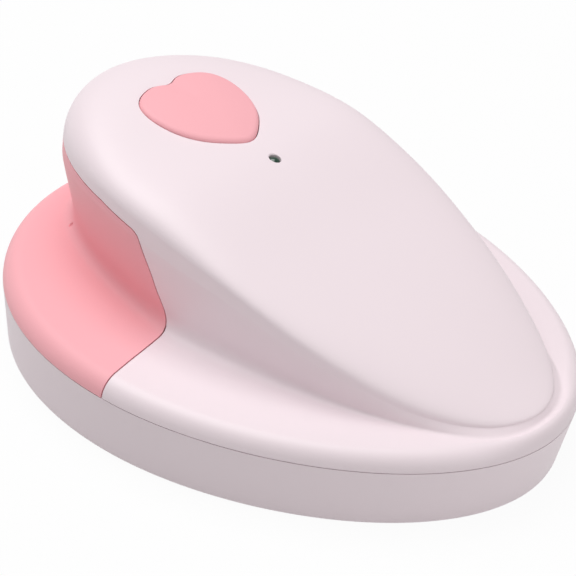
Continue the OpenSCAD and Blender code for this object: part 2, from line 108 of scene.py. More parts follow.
# %% [markdown]
# ## Curves of the housing
# Three outlines shape the whole housing: the egg of the base, the foot where the pod starts, and the pod's
# widest line. Each is an ellipse that a power makes rounder or squarer. Two height curves say how high the
# pod's widest line and its ridge run from nose to rear. They could be traced by hand as splines, but a
# formula keeps both sides alike and gives any number of points.

# %% Curves of the housing
low_corner, high_corner = cad_box
BASE_L = (high_corner[1] - low_corner[1]) / MM
BASE_W = 104.0
PARTING_Z = 13.0
WALL = 2.2
DRAFT = 1.5
SHELF_Z = 17.0
SHOULDER_R = 3.4
# Each knot is a place along the housing and the height there.
EDGE_KNOTS = [(-57, 16.8), (-51, 17.3), (-40, 19.9), (-23, 26.2), (-2, 33.9), (26, 39.2), (54, 37.2)]
RIDGE_KNOTS = [(-57, 18.2), (-40, 24.4), (-9.6, 35.0), (10, 41.9), (26, 44.6), (40, 47.5), (54, 49.2)]


def bulge(v, n):
    """A power of a sine or cosine that keeps its sign."""
    return math.copysign(abs(v) ** (2 / n), v)


def clamp(t):
    """A share, kept from 0 to 1."""
    return max(0.0, min(1.0, t))


def through(knots, t):
    """Smooth curve through knots, each with the slope of its two neighbours."""
    last = len(knots) - 1
    i = sum(1 for k in knots[1:-1] if t > k[0])

    def slope(j):
        (x0, y0), (x1, y1) = knots[max(0, j - 1)], knots[min(last, j + 1)]
        return (y1 - y0) / (x1 - x0)

    (x0, y0), (x1, y1) = knots[i], knots[i + 1]
    h = x1 - x0
    u = clamp((t - x0) / h)
    return ((2 * u**3 - 3 * u**2 + 1) * y0 + (u**3 - 2 * u**2 + u) * slope(i) * h
            + (3 * u**2 - 2 * u**3) * y1 + (u**3 - u**2) * slope(i + 1) * h)


EGG_N, EGG_SPREAD = 1.96, 0.11


def egg(a, d):
    """Base outline at angle a from the rear, drawn in by d. It is wider towards the rear."""
    y = (BASE_L / 2 - d) * bulge(math.cos(a), EGG_N)
    spread = 1 + EGG_SPREAD * y / (BASE_L / 2)
    return np.array([(BASE_W / 2 - d) * bulge(math.sin(a), EGG_N) * spread, y])


FOOT_Y, FOOT_W, FOOT_REAR, FOOT_FRONT = 2.0, 30.9, 50.0, 59.0
FOOT_N_REAR, FOOT_N_FRONT = 2.6, 2.42
FOOT_SPREAD, FOOT_PINCH, FOOT_PINCH_FROM = 0.002, 0.0082, 6


def foot(a, d):
    """Outline of the pod's foot, which narrows towards both ends."""
    rear = math.cos(a) > 0
    n = FOOT_N_REAR if rear else FOOT_N_FRONT
    t = ((FOOT_REAR if rear else FOOT_FRONT) - d) * bulge(math.cos(a), n)
    pinch = FOOT_PINCH * t * t / (t + FOOT_PINCH_FROM) if rear else 0
    taper = 1 + FOOT_SPREAD * t - pinch
    return np.array([(FOOT_W - d) * bulge(math.sin(a), n) * taper, FOOT_Y + t])


POD_Y, POD_W, POD_REAR, POD_FRONT = 12.0, 33.7, 43.1, 68.0


def pod(a, d):
    """Outline of the pod's widest line."""
    reach = POD_REAR if math.cos(a) > 0 else POD_FRONT
    return np.array([(POD_W - d) * math.sin(a), POD_Y + (reach - d) * math.cos(a)])


CROWN_ROUND, CROWN_EDGE, CROWN_POWER = 0.2, 0.8, 9


def crown(widest_z, y, s, d):
    """Height of the pod's top at y, where s runs from 0 at the middle to 1 at the widest line."""
    rise = math.sqrt(max(0.0, 1 - CROWN_ROUND * s * s - CROWN_EDGE * abs(s) ** CROWN_POWER))
    return widest_z + (through(RIDGE_KNOTS, y) - d - widest_z) * rise


def ridge_at(y):
    """Height of the pod's top along its ridge."""
    reach = POD_REAR if y > POD_Y else -POD_FRONT
    return crown(through(EDGE_KNOTS, POD_Y + reach), y, (y - POD_Y) / reach, 0)


print("pod's top over its widest place:", round(ridge_at(POD_Y), 2), "mm")

# %% [markdown]
# ## Lofting
# A loft joins sections, one for each direction round the housing, into a closed skin. A subdivided cage
# would give smooth shapes with fewer numbers, but the skin pulls away from its cage, and here the curves
# fix where the skin lies. The helpers make such skins, and the plain solids that cut and join them.

# %% Mesh helpers


def mesh_object(name, verts_mm, faces):
    """A new object with its place in its mesh, from points in millimetres, with its normals outwards."""
    mesh = bpy.data.meshes.new(name)
    mesh.from_pydata([tuple(c * MM for c in v) for v in verts_mm], [], faces)
    obj = bpy.data.objects.new(name, mesh)
    scene.collection.objects.link(obj)
    tidy(obj)
    return obj


def tidy(obj, merge=1e-6):
    """Merges doubles, then turns every face outwards."""
    bm = bmesh.new()
    bm.from_mesh(obj.data)
    bmesh.ops.remove_doubles(bm, verts=bm.verts, dist=merge)
    bmesh.ops.dissolve_degenerate(bm, edges=bm.edges, dist=merge)
    bmesh.ops.recalc_face_normals(bm, faces=bm.faces)
    bm.to_mesh(obj.data)
    bm.free()


def loft(name, sections, low, high):
    """Closed skin through a ring of sections, with a middle point below and one above."""
    n, m = len(sections), len(sections[0])
    verts = [p for s in sections for p in s] + [low, high]
    faces = []
    for i in range(n):
        k = (i + 1) % n
        for j in range(m - 1):
            faces.append((i * m + j, i * m + j + 1, k * m + j + 1, k * m + j))
        faces.append((i * m, k * m, n * m))
        faces.append((k * m + m - 1, i * m + m - 1, n * m + 1))
    return mesh_object(name, verts, faces)


def applied(obj):
    """Replaces an object's mesh by what its modifiers make of it."""
    depsgraph = bpy.context.evaluated_depsgraph_get()
    done = bpy.data.meshes.new_from_object(obj.evaluated_get(depsgraph), depsgraph=depsgraph)
    obj.modifiers.clear()
    old = obj.data
    obj.data = done
    bpy.data.meshes.remove(old)
    return obj


def combine(obj, other, operation):
    """Cuts, joins or intersects obj with another object, and removes the other one."""
    boolean = obj.modifiers.new("boolean", "BOOLEAN")
    boolean.operation = operation
    boolean.solver = "EXACT"
    boolean.object = other
    applied(obj)
    bpy.data.objects.remove(other)
    return obj


def smooth(obj, angle=32):
    """Smooth shading, with edges sharper than the angle kept crisp and the large flats kept flat."""
    obj.data.shade_smooth()
    obj.data.set_sharp_from_angle(angle=math.radians(angle))
    weighted = obj.modifiers.new("weighted", "WEIGHTED_NORMAL")
    weighted.keep_sharp = True
    return applied(obj)


def turned(name, profile, low_z, high_z, place=None, sides=64):
    """Solid of revolution: a profile of (radius, height) from the axis below to the axis above."""
    place = place or Matrix()
    sections = []
    for i in range(sides):
        a = i * 2 * math.pi / sides
        sections.append([tuple(place @ Vector((r * math.cos(a), r * math.sin(a), z))) for r, z in profile])
    return loft(name, sections, tuple(place @ Vector((0, 0, low_z))), tuple(place @ Vector((0, 0, high_z))))


def rod(r, z0, z1, place=None, sides=64, top_r=None):
    """Cylinder or cone between two heights."""
    return turned("rod", [(r, z0), (top_r or r, z1)], z0, z1, place, sides)


def ball(r, place, sides=32):
    """Sphere round a place."""
    steps = np.radians(np.linspace(-80, 80, 13))
    profile = [(r * math.cos(t), r * math.sin(t)) for t in steps]
    return turned("ball", profile, -r, r, Matrix.Translation(place), sides)


def prism(outline, z0, z1, place=None, top=None, name="prism"):
    """Solid over a flat outline, moved by a matrix. Its top may be another outline of as many points."""
    place = place or Matrix()
    n = len(outline)
    verts = [place @ Vector((x, y, z0)) for x, y in outline]
    verts += [place @ Vector((x, y, z1)) for x, y in (top or outline)]
    faces = [tuple(range(n - 1, -1, -1)), tuple(range(n, 2 * n))]
    faces += [(i, (i + 1) % n, n + (i + 1) % n, n + i) for i in range(n)]
    return mesh_object(name, verts, faces)


def block(x0, x1, y0, y1, z0, z1, place=None):
    """Box between two corners."""
    return prism([(x0, y0), (x1, y0), (x1, y1), (x0, y1)], z0, z1, place)


def rounded_rectangle(w, l, r, y=0.0, x=0.0, count=8):
    """Outline of a rectangle with rounded corners, about (x, y)."""
    points = []
    for cx, cy, start in ((1, 1, 0), (-1, 1, 90), (-1, -1, 180), (1, -1, 270)):
        for i in range(count + 1):
            a = math.radians(start + 90 * i / count)
            points.append((x + cx * (w / 2 - r) + r * math.cos(a), y + cy * (l / 2 - r) + r * math.sin(a)))
    return points


print("one millimetre is", MM, "of Blender's metres")

# %% [markdown]
# ## Sections of the housing
# From the parting line a section turns over the shoulder, crosses the shelf, rises through a hollow fillet
# into the wall, leans out to the pod's rim and closes over the crown. The shelf and the pod could be two
# forms with a bevel between them, but the fillet changes its size all the way round. One section keeps them
# joined, and the same section drawn in by the wall's thickness gives the hollow.

# %% Sections of the housing
TURNS, COARSE_TURNS = 240, 120
SHOULDER_STEPS = np.radians(np.linspace(0, 90, 11))
SHELF_STEPS = (0.33, 0.67)
FILLET_STEPS = np.linspace(0, 1, 13)
WALL_STEPS = np.linspace(0.2, 0.9, 5)
NECK_STEPS = np.linspace(0, 1, 7)
RIM_STEPS = np.linspace(0.2, 1, 5)
# The crown's rings lie closer together towards the rim, where the skin turns fastest.
CROWN_STEPS = np.radians([*range(88, 64, -2), *range(63, 53, -3), *range(50, 9, -4), 7, 4])
SHOULDER_SHARE, SHOULDER_LEAST = 0.62, 0.2
SHELF_SLOPE, SHELF_DIP = 0.008, 0.3
NOSE_DEEP, NOSE_FROM, NOSE_RUN = 0.9, 34, 22
FILLET_REAR, FILLET_LOSS, FILLET_FROM, FILLET_RUN = 4.0, 3.1, 5, 35
FILLET_RISE = 1.12
NECK_HEIGHT, NECK_SLOPE, NECK_OUT = 0.8, 0.16, 0.95
RIM_HEIGHT, RIM_LEAST, RIM_IN = 0.12, 0.5, 0.6


def mix(p, q, t):
    """Point at share t of the way from p to q."""
    return p + (q - p) * t


def bend(p, q, r, t):
    """Curve that leaves p towards q and arrives at r from q."""
    return mix(mix(p, q, t), mix(q, r, t), t)


def toward(p, q, length, share):
    """From p towards q by a length, but no further than that share of the way."""
    return mix(p, q, min(share, length / np.linalg.norm(q - p)))


def at(xy, z):
    """A place over a point of the plan."""
    return np.array([xy[0], xy[1], z])


def shelf_height(y):
    """Height of the shelf, which rises a little towards the rear."""
    return SHELF_Z + SHELF_SLOPE * y


def nose_drop(y):
    """How much lower the crease lies round the nose."""
    return NOSE_DEEP * clamp((-y - NOSE_FROM) / NOSE_RUN) ** 2


def fillet_size(y):
    """The hollow fillet is wide where fingers reach under the pod and dies down towards the nose."""
    return FILLET_REAR - FILLET_LOSS * clamp((-y - FILLET_FROM) / FILLET_RUN)


def section(a, d, bottom):
    """One section of the housing at angle a, drawn in by d, from the parting line to the crown."""
    edge, foot_xy, pod_xy = egg(a, d), foot(a, d), pod(a, d)
    r = min(SHOULDER_R, SHOULDER_SHARE * np.linalg.norm(edge - foot_xy))
    shelf_in = at(egg(a, d + r), shelf_height(edge[1]) - d - SHELF_DIP)
    corner = at(foot_xy, shelf_height(foot_xy[1]) - d - nose_drop(foot_xy[1]))
    widest_z = through(EDGE_KNOTS, pod_xy[1]) - RIM_IN * d
    widest = at(pod_xy, widest_z)
    under = at(pod_xy, widest_z - RIM_HEIGHT * max(RIM_LEAST, widest_z - corner[2]))
    neck_z = mix(corner[2], widest_z, NECK_HEIGHT)
    neck = at(mix(foot(a, d - NECK_SLOPE * (neck_z - corner[2])), pod_xy, NECK_OUT), neck_z)
    size = fillet_size(foot_xy[1])
    out = toward(corner, shelf_in, size, 0.5)
    rise = toward(corner, neck, FILLET_RISE * size, 0.4)
    neck_low, neck_up = mix(neck, corner, 0.25), mix(neck, under, 0.5)
    points = [at(edge, bottom)]
    for s in SHOULDER_STEPS:
        height = PARTING_Z + max(SHOULDER_LEAST, shelf_in[2] - PARTING_Z) * math.sin(s)
        points.append(at(egg(a, d + r * (1 - math.cos(s))), height))
    points += [mix(shelf_in, out, t) for t in SHELF_STEPS]
    points += [bend(out, corner, rise, t) for t in FILLET_STEPS]
    points += [mix(rise, neck_low, t) for t in WALL_STEPS]
    points += [bend(neck_low, neck, neck_up, t) for t in NECK_STEPS]
    points += [bend(neck_up, under, widest, t) for t in RIM_STEPS]
    for c in CROWN_STEPS:
        s = math.sin(c)
        xy = np.array([0, POD_Y]) + s * (pod_xy - np.array([0, POD_Y]))
        points.append(at(xy, crown(widest_z, xy[1], s, d)))
    return points


def housing_form(name, d, bottom, turns=TURNS):
    """The whole upper form, drawn in by d, as a solid that is flat below."""
    angles = np.arange(turns) * 2 * math.pi / turns
    top = at((0, POD_Y), crown(0, POD_Y, 0, d))
    return loft(name, [section(a, d, bottom) for a in angles], (0, 0, bottom), tuple(top))


print("sections:", TURNS, "with", len(section(0, 0, PARTING_Z)), "points each")

# %% [markdown]
# ## Shader groups
# Every finish here is a pattern that chooses between two near colours and gives a relief and an uneven gloss.
# One shared group holds each pattern, and each material gives it its own colours and sizes:
# - moulded skin: a slow drift of colour and the fine grain that spark erosion leaves in a mould
# - flecked: closed cells, for foam, ceramic and rubber
# - streaked: fine lines along X, for drawn steel and printed foil
# - traced: straight copper tracks under the board's green mask
# The grain is too fine to model, so it is bump. Seams, rims and grooves are real geometry. Each material
# could have its own nodes, but a shared group keeps one plastic like another.

# %% Shader groups
UNEVEN_GLOSS = 0.10
DRIFT_PER_METRE = 28.0
STREAK_STRETCH = 0.05


def skin_group(name, pattern):
    """Shared group: pattern(nodes, links, vector, scale) gives the second colour's mask and the height."""
    group = bpy.data.node_groups.new(name, "ShaderNodeTree")
    face = group.interface
    for label, kind, default in (("Colour", "NodeSocketColor", (0.8, 0.8, 0.8, 1)),
                                 ("Second colour", "NodeSocketColor", (0.7, 0.7, 0.7, 1)),
                                 ("Amount", "NodeSocketFloat", 0.5), ("Roughness", "NodeSocketFloat", 0.45),
                                 ("Size", "NodeSocketFloat", 0.0004)):
        face.new_socket(label, in_out="INPUT", socket_type=kind).default_value = default
    face.new_socket("Colour", in_out="OUTPUT", socket_type="NodeSocketColor")
    face.new_socket("Roughness", in_out="OUTPUT", socket_type="NodeSocketFloat")
    face.new_socket("Height", in_out="OUTPUT", socket_type="NodeSocketFloat")
    nodes, links = group.nodes, group.links
    enter, leave = nodes.new("NodeGroupInput"), nodes.new("NodeGroupOutput")
    coords = nodes.new("ShaderNodeTexCoord")
    scale = nodes.new("ShaderNodeMath")
    scale.operation = "DIVIDE"
    scale.inputs[0].default_value = 1.0
    links.new(enter.outputs["Size"], scale.inputs[1])
    mask, height = pattern(nodes, links, coords.outputs["Object"], scale.outputs[0])
    amount = nodes.new("ShaderNodeMath")
    amount.operation = "MULTIPLY"
    blend = nodes.new("ShaderNodeMix")
    blend.data_type = "RGBA"
    rough = nodes.new("ShaderNodeMath")
    rough.operation = "MULTIPLY_ADD"
    rough.inputs[1].default_value = UNEVEN_GLOSS
    links.new(mask, amount.inputs[0])
    links.new(enter.outputs["Amount"], amount.inputs[1])
    links.new(amount.outputs[0], blend.inputs["Factor"])
    links.new(enter.outputs["Colour"], blend.inputs["A"])
    links.new(enter.outputs["Second colour"], blend.inputs["B"])
    links.new(height, rough.inputs[0])
    links.new(enter.outputs["Roughness"], rough.inputs[2])
    links.new(blend.outputs["Result"], leave.inputs["Colour"])
    links.new(rough.outputs[0], leave.inputs["Roughness"])
    links.new(height, leave.inputs["Height"])
    return group


def noise(nodes, links, vector, scale, detail):
    """Noise texture at a socket's or a number's scale."""
    node = nodes.new("ShaderNodeTexNoise")
    node.inputs["Detail"].default_value = detail
    links.new(vector, node.inputs["Vector"])
    if isinstance(scale, float):
        node.inputs["Scale"].default_value = scale
    else:
        links.new(scale, node.inputs["Scale"])
    return node.outputs["Fac"]


def moulded_pattern(nodes, links, vector, scale):
    """Slow drift for the colour, fine grain for the height."""
    return noise(nodes, links, vector, DRIFT_PER_METRE, 2.0), noise(nodes, links, vector, scale, 3.0)


def flecked_pattern(nodes, links, vector, scale):
    """Closed cells of about the given size."""
    cells = nodes.new("ShaderNodeTexVoronoi")
    links.new(vector, cells.inputs["Vector"])
    links.new(scale, cells.inputs["Scale"])
    return cells.outputs["Distance"], cells.outputs["Distance"]


def streaked_pattern(nodes, links, vector, scale):
    """Noise that is drawn out along X."""
    stretch = nodes.new("ShaderNodeMapping")
    stretch.inputs["Scale"].default_value = (STREAK_STRETCH, 1.0, 1.0)
    links.new(vector, stretch.inputs["Vector"])
    lines = noise(nodes, links, stretch.outputs[0], scale, 4.0)
    return lines, lines


def traced_pattern(nodes, links, vector, scale):
    """The joints between bricks, as straight tracks."""
    tracks = nodes.new("ShaderNodeTexBrick")
    tracks.inputs["Scale"].default_value = 1.0
    tracks.inputs["Mortar Size"].default_value = 0.06
    tracks.inputs["Mortar Smooth"].default_value = 0.3
    grow = nodes.new("ShaderNodeVectorMath")
    grow.operation = "SCALE"
    links.new(vector, grow.inputs[0])
    links.new(scale, grow.inputs["Scale"])
    links.new(grow.outputs[0], tracks.inputs["Vector"])
    return tracks.outputs["Fac"], tracks.outputs["Fac"]


MOULDED = skin_group("moulded_skin", moulded_pattern)
FLECKED = skin_group("flecked_skin", flecked_pattern)
STREAKED = skin_group("streaked_skin", streaked_pattern)
TRACED = skin_group("traced_skin", traced_pattern)
print("shader groups:", [g.name for g in (MOULDED, FLECKED, STREAKED, TRACED)])

# %% [markdown]
# ## Materials
# The two housing plastics are satin. Their colours are written as they look in soft daylight, so that the
# lamps only have to light them evenly. The pink reflects less at its surface than the white does, which
# keeps its colour strong in the shade. Scattering below the surface would soften it too, but it takes longer
# to render.

# %% Materials
BUMP_STRENGTH = 0.25
MATERIALS = {}


def linear(r, g, b):
    """Colour as a screen shows it, 0 to 255, as the shader wants it."""
    levels = [((c / 255 + 0.055) / 1.055) ** 2.4 if c > 10 else c / 255 / 12.92 for c in (r, g, b)]
    return (*levels, 1.0)


def finish(name, group, colour, second, amount=0.5, roughness=0.4, size=0.4, relief=0.02, **sockets):
    """Adds a material: a shared group in a Principled shader. Sizes are in millimetres. Underscores in the
    names of the other sockets stand for spaces."""
    material = bpy.data.materials.new(name)
    material.use_nodes = True
    nodes, links = material.node_tree.nodes, material.node_tree.links
    shader = nodes["Principled BSDF"]
    skin = nodes.new("ShaderNodeGroup")
    skin.node_tree = group
    skin.inputs["Colour"].default_value = linear(*colour)
    skin.inputs["Second colour"].default_value = linear(*second)
    skin.inputs["Amount"].default_value = amount
    skin.inputs["Roughness"].default_value = roughness
    skin.inputs["Size"].default_value = size * MM
    bump = nodes.new("ShaderNodeBump")
    bump.inputs["Strength"].default_value = BUMP_STRENGTH
    bump.inputs["Distance"].default_value = relief * MM
    links.new(skin.outputs["Colour"], shader.inputs["Base Color"])
    links.new(skin.outputs["Roughness"], shader.inputs["Roughness"])
    links.new(skin.outputs["Height"], bump.inputs["Height"])
    links.new(bump.outputs["Normal"], shader.inputs["Normal"])
    for socket, value in sockets.items():
        shader.inputs[socket.replace("_", " ")].default_value = value
    MATERIALS[name] = material


def placed(obj, body, nodes, slot):
    """Gives a finished piece the material of that name in its slot, hangs it on its body and hides the nodes
    it stands for.
    """
    obj.data.materials.clear()
    obj.data.materials.append(MATERIALS[slot])
    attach(obj, body)
    if nodes:
        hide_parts(*nodes)
    print(obj.name, len(obj.data.polygons), "faces")


finish("white_plastic", MOULDED, (244, 230, 235), (240, 225, 230), roughness=0.42)
finish("pink_plastic", MOULDED, (251, 183, 190), (248, 176, 184), roughness=0.48, Specular_IOR_Level=0.3)
finish("window_plastic", MOULDED, (222, 222, 225), (214, 214, 218), roughness=0.22, relief=0.008,
       Coat_Weight=0.25)
finish("led_lens", MOULDED, (22, 52, 40), (40, 88, 64), amount=0.6, roughness=0.08, size=1.2, relief=0.0,
       Coat_Weight=0.6, Coat_Roughness=0.05)
finish("board_laminate", TRACED, (22, 92, 52), (46, 128, 74), roughness=0.3, size=5.0, relief=0.03,
       Coat_Weight=0.3)
finish("black_plastic", MOULDED, (26, 26, 28), (38, 38, 40), roughness=0.5, size=0.3)
finish("capacitor_sleeve", STREAKED, (38, 50, 106), (28, 38, 88), roughness=0.25, size=0.5, relief=0.005,
       Coat_Weight=0.3)
finish("steel", STREAKED, (196, 197, 200), (168, 170, 174), roughness=0.26, size=0.15, relief=0.006,
       Metallic=1.0)
finish("plunger_plastic", MOULDED, (218, 215, 205), (206, 202, 190), size=0.2)
finish("crystal_ceramic", FLECKED, (226, 206, 160), (206, 184, 138), roughness=0.6, size=0.2)
finish("backing_foam", FLECKED, (70, 72, 76), (92, 94, 98), roughness=0.8, size=0.5, relief=0.15)
finish("cup_plastic", MOULDED, (200, 200, 195), (188, 188, 182), roughness=0.5)
finish("cable_jacket", MOULDED, (218, 218, 212), (206, 206, 200), roughness=0.5, size=0.3)
finish("seal_rubber", FLECKED, (24, 24, 26), (36, 36, 38), roughness=0.65, size=0.2)
finish("battery_case", STREAKED, (40, 43, 48), (52, 56, 62), roughness=0.3, size=0.6, relief=0.006,
       Coat_Weight=0.5)
finish("lead_jacket", MOULDED, (178, 30, 28), (160, 24, 24), roughness=0.45, size=0.3)
finish("foam", FLECKED, (62, 62, 66), (84, 84, 90), roughness=0.85, size=0.6, relief=0.2)
print("materials:", len(MATERIALS))

# %% [markdown]
# ## Upper shell
# The upper shell and the pink panel come from one skin. The form is lofted twice, once drawn in by the
# wall's thickness, and the difference is the moulded wall. Two prisms part pink from white: the panel's side
# view above the shelf, and a line in plan across the shelf, where a side view would hardly meet the surface.
# The seam could be painted on, but drawing the prisms in or out by half its width leaves a real hairline gap
# between two pieces.

# %% Upper shell
SEAM = 0.30
FAR, CUT = 70, 8
PANEL_SIDE = [(8.1, 17.8), (8.2, 18.1), (8.5, 19), (8.85, 20), (9.4, 21.35), (10.1, 22.9), (10.95, 24.6),
              (12.25, 28.1), (13.8, 31.5), (14.6, 33.3), (15.1, 34.4), (15.6, 35.1), (16.3, 35.6),
              (17.2, 35.95), (18.5, 36.15), (26.3, 37.3), (35, 37.6), (FAR, 37.6), (FAR, 17.8)]
PANEL_PLAN = [(FAR, 5.4), (51, 5.4), (49.6, 5.45), (47.9, 5.7), (43.6, 6.3), (36.6, 7.15), (33.6, 7.6),
              (32.4, 7.85), (31.7, 8.1), (31.2, 8.35)]
PANEL_SPLIT_Z = 18.2
PANEL_BELOW, HOLLOW_BELOW = 5, 0.5
ACROSS = Matrix(((0, 0, 1, 0), (1, 0, 0, 0), (0, 1, 0, 0), (0, 0, 0, 1)))


def grown(outline, d):
    """Outline moved outwards by d along the mean normal of its corners (points run clockwise)."""
    pts = np.array(outline, float)
    before, after = pts - np.roll(pts, 1, 0), np.roll(pts, -1, 0) - pts
    before /= np.linalg.norm(before, axis=1)[:, None]
    after /= np.linalg.norm(after, axis=1)[:, None]
    mean = before + after
    mean /= np.linalg.norm(mean, axis=1)[:, None]
    normal = np.stack([-mean[:, 1], mean[:, 0]], 1)
    return [tuple(p) for p in pts + d * normal]


def panel_space(d):
    """Everything behind the seam, moved out by d: a side view above the shelf and a plan across it."""
    above = prism(grown(PANEL_SIDE, d), -FAR, FAR, ACROSS)
    plan = [(FAR, FAR)] + PANEL_PLAN + [(-x, y) for x, y in reversed(PANEL_PLAN)] + [(-FAR, FAR)]
    return combine(above, prism(grown(plan, d), PARTING_Z - PANEL_BELOW, PANEL_SPLIT_Z), "UNION")


def shell_wall(name):
    """The upper form as a wall, open below."""
    outer = housing_form(name, 0, PARTING_Z)
    hollow = housing_form("hollow", WALL, PARTING_Z - HOLLOW_BELOW, COARSE_TURNS)
    return combine(outer, hollow, "DIFFERENCE")


HEART_Y, SLOPE_SPAN = 26.9, 10
HEART_RISE = ridge_at(HEART_Y + SLOPE_SPAN) - ridge_at(HEART_Y - SLOPE_SPAN)
HEART_SLOPE = math.atan(HEART_RISE / (2 * SLOPE_SPAN))
HEART_AT = (0, HEART_Y, ridge_at(HEART_Y))
ON_HEART = Matrix.Translation(HEART_AT) @ Matrix.Rotation(HEART_SLOPE, 4, "X")
HEART_GAP = 0.14
HEART_HALF_W, HEART_SQUARE = 12.7, 0.3
HEART_SHIFT, HEART_HALF_L, HEART_LOBES = 2.8, 10.9, 1.4
HEART_NOTCH, HEART_NOTCH_POWER = 1.4, 50
HEART_TIP, HEART_TIP_POWER = 1.3, 20
HEART_MIDDLE = 1
LED_Y = -17.0
LED_HOLE_R, LED_CHAMFER, CHAMFER_PAST = 1.25, 0.3, 0.2


def heart(a, d):
    """Outline of the heart, drawn in by d: sine waves for the lobes, with a notch and a rounded tip."""
    x = HEART_HALF_W * math.sin(a) + HEART_SQUARE * math.sin(3 * a)
    y = (HEART_SHIFT + HEART_HALF_L * math.cos(a) - HEART_LOBES * math.cos(2 * a)
         - HEART_NOTCH * max(0, math.cos(a)) ** HEART_NOTCH_POWER
         - HEART_TIP * max(0, -math.cos(a)) ** HEART_TIP_POWER)
    r = math.hypot(x, y - HEART_MIDDLE)
    return x * (1 - d / r), HEART_MIDDLE + (y - HEART_MIDDLE) * (1 - d / r)


def heart_outline(d, count=160):
    """The heart's whole outline as points."""
    return [heart(i * 2 * math.pi / count, d) for i in range(count)]


upper = shell_wall("upper_shell_skin")
combine(upper, panel_space(SEAM / 2), "DIFFERENCE")
combine(upper, prism(heart_outline(-HEART_GAP), -CUT, CUT, ON_HEART), "DIFFERENCE")
at_led = ON_HEART @ Matrix.Translation((0, LED_Y, 0))
led_y = (at_led @ Vector()).y
led_skin = (at_led.inverted() @ Vector((0, led_y, ridge_at(led_y)))).z
combine(upper, rod(LED_HOLE_R, -CUT, CUT, at_led), "DIFFERENCE")
chamfer = rod(LED_HOLE_R - CHAMFER_PAST, led_skin - LED_CHAMFER, led_skin + CHAMFER_PAST, at_led,
              top_r=LED_HOLE_R + LED_CHAMFER)
combine(upper, chamfer, "DIFFERENCE")
smooth(upper)
placed(upper, "root", ["upper_shell"], "white_plastic")
print("the pod's top over the light, in the heart's frame:", round(led_skin, 3), "mm")

# %% [markdown]
# ## Pink panel
# The rear wall under the overhang carries the two headphone sockets, each in a round recess with a boss
# behind it. The small dimple on the pink shelf's left, beside the pod, is taken as the place where the
# mould's gate was cut off. A bump could draw it, but a ball cut out of the wall is there in the mesh as well.

# %% Pink panel
JACK_X, JACK_Z, JACK_FACE = 7.0, 27.5, 50.2
JACK_NOSE_R, JACK_NOSE_FIT, JACK_BORE_R, JACK_BORE = 3.0, 0.1, 1.8, 14.0
RECESS_R, RECESS_WALL, RECESS_FLOOR, RECESS_REACH = 4.7, 0.9, 3, 14
GATE_MARK, GATE_R = (-17.8, 44.8, 18.0), 0.6
FACING_REAR = Matrix.Rotation(-math.pi / 2, 4, "X")


def at_jack(side):
    """A socket's place on its face, with the bore along Z and the outside above."""
    return Matrix.Translation((side * JACK_X, JACK_FACE, JACK_Z)) @ FACING_REAR


panel = shell_wall("rear_grip_panel_skin")
combine(panel, panel_space(-SEAM / 2), "INTERSECT")
for side in (-1, 1):
    combine(panel, rod(RECESS_R + RECESS_WALL, -RECESS_FLOOR, 0, at_jack(side)), "UNION")
for side in (-1, 1):
    combine(panel, rod(RECESS_R, 0, RECESS_REACH, at_jack(side)), "DIFFERENCE")
    combine(panel, rod(JACK_NOSE_R + JACK_NOSE_FIT, -CUT, 1, at_jack(side)), "DIFFERENCE")
combine(panel, ball(GATE_R, GATE_MARK), "DIFFERENCE")
smooth(panel)
placed(panel, "root", ["rear_grip_panel"], "pink_plastic")

# %% [markdown]
# ## Lower shell
# The tray under the parting line: a drafted side, a small round where it meets the sole, and the openings
# in the sole for the window, the battery door and the screws. Inside it the fences beside the battery, the
# collar round the transducer and the screw bosses can be seen when the door stands open. All of it is cut and
# joined with exact booleans, one for each feature of the mould, so that every size stays a named number.

# %% Lower shell
PARTING_GAP = 0.16
SOLE, SOLE_ROUND = 2.2, 1.4
LIP_IN, LIP_FIT, LIP_LOW, LIP_HIGH = 1.1, 0.05, 1.5, 1.1
FENCE_X, FENCE_HALF, FENCE_FRONT, FENCE_REAR, FENCE_TOP = 15.4, 0.6, -13.5, 37.5, 10.9
PROBE_Y, PROBE_R, PROBE_GAP = -36.0, 16.5, 0.25
CHAMFER_LOW_R, CHAMFER_TOP_R = 0.85, 0.24
COLLAR_OUT, COLLAR_IN, COLLAR_TOP, COLLAR_PAST = 3.4, 2.2, 5.3, 0.7
BOSS_R, BOSS_TOP = 3.4, 6.4
SCREW_HOLE_R, SCREW_HOLE, SCREW_CHAMFER_R, SCREW_CHAMFER = 2.7, 1.6, 3.1, 0.2
# What is joined starts this far inside the sole, and a chamfer's cutter reaches this far past the sole.
ROOT_IN, CHAMFER_REACH = 0.3, 0.3
DOOR_W, DOOR_FRONT, DOOR_REAR, DOOR_GAP = 31.0, -15.0, 38.0, 0.25
DOOR_LOW, DOOR_T, DOOR_CORNER, DOOR_CHAMFER = 0.1, 1.9, 1.5, 0.6
HINGE_Y, HINGE_Z = DOOR_REAR - DOOR_GAP - DOOR_T / 2, DOOR_LOW + DOOR_T / 2
PIN_R, PIN_OUT, PIN_FIT, PIN_END = 0.6, 1.3, 0.06, 0.1
NOTCH_AT, NOTCH_R = (0, DOOR_FRONT + 0.5, -3.4), 5.0
SCREWS = [(-29, -31), (29, -31), (-27, 39), (27, 39)]
ALONG_X = Matrix.Rotation(math.pi / 2, 4, "Y")


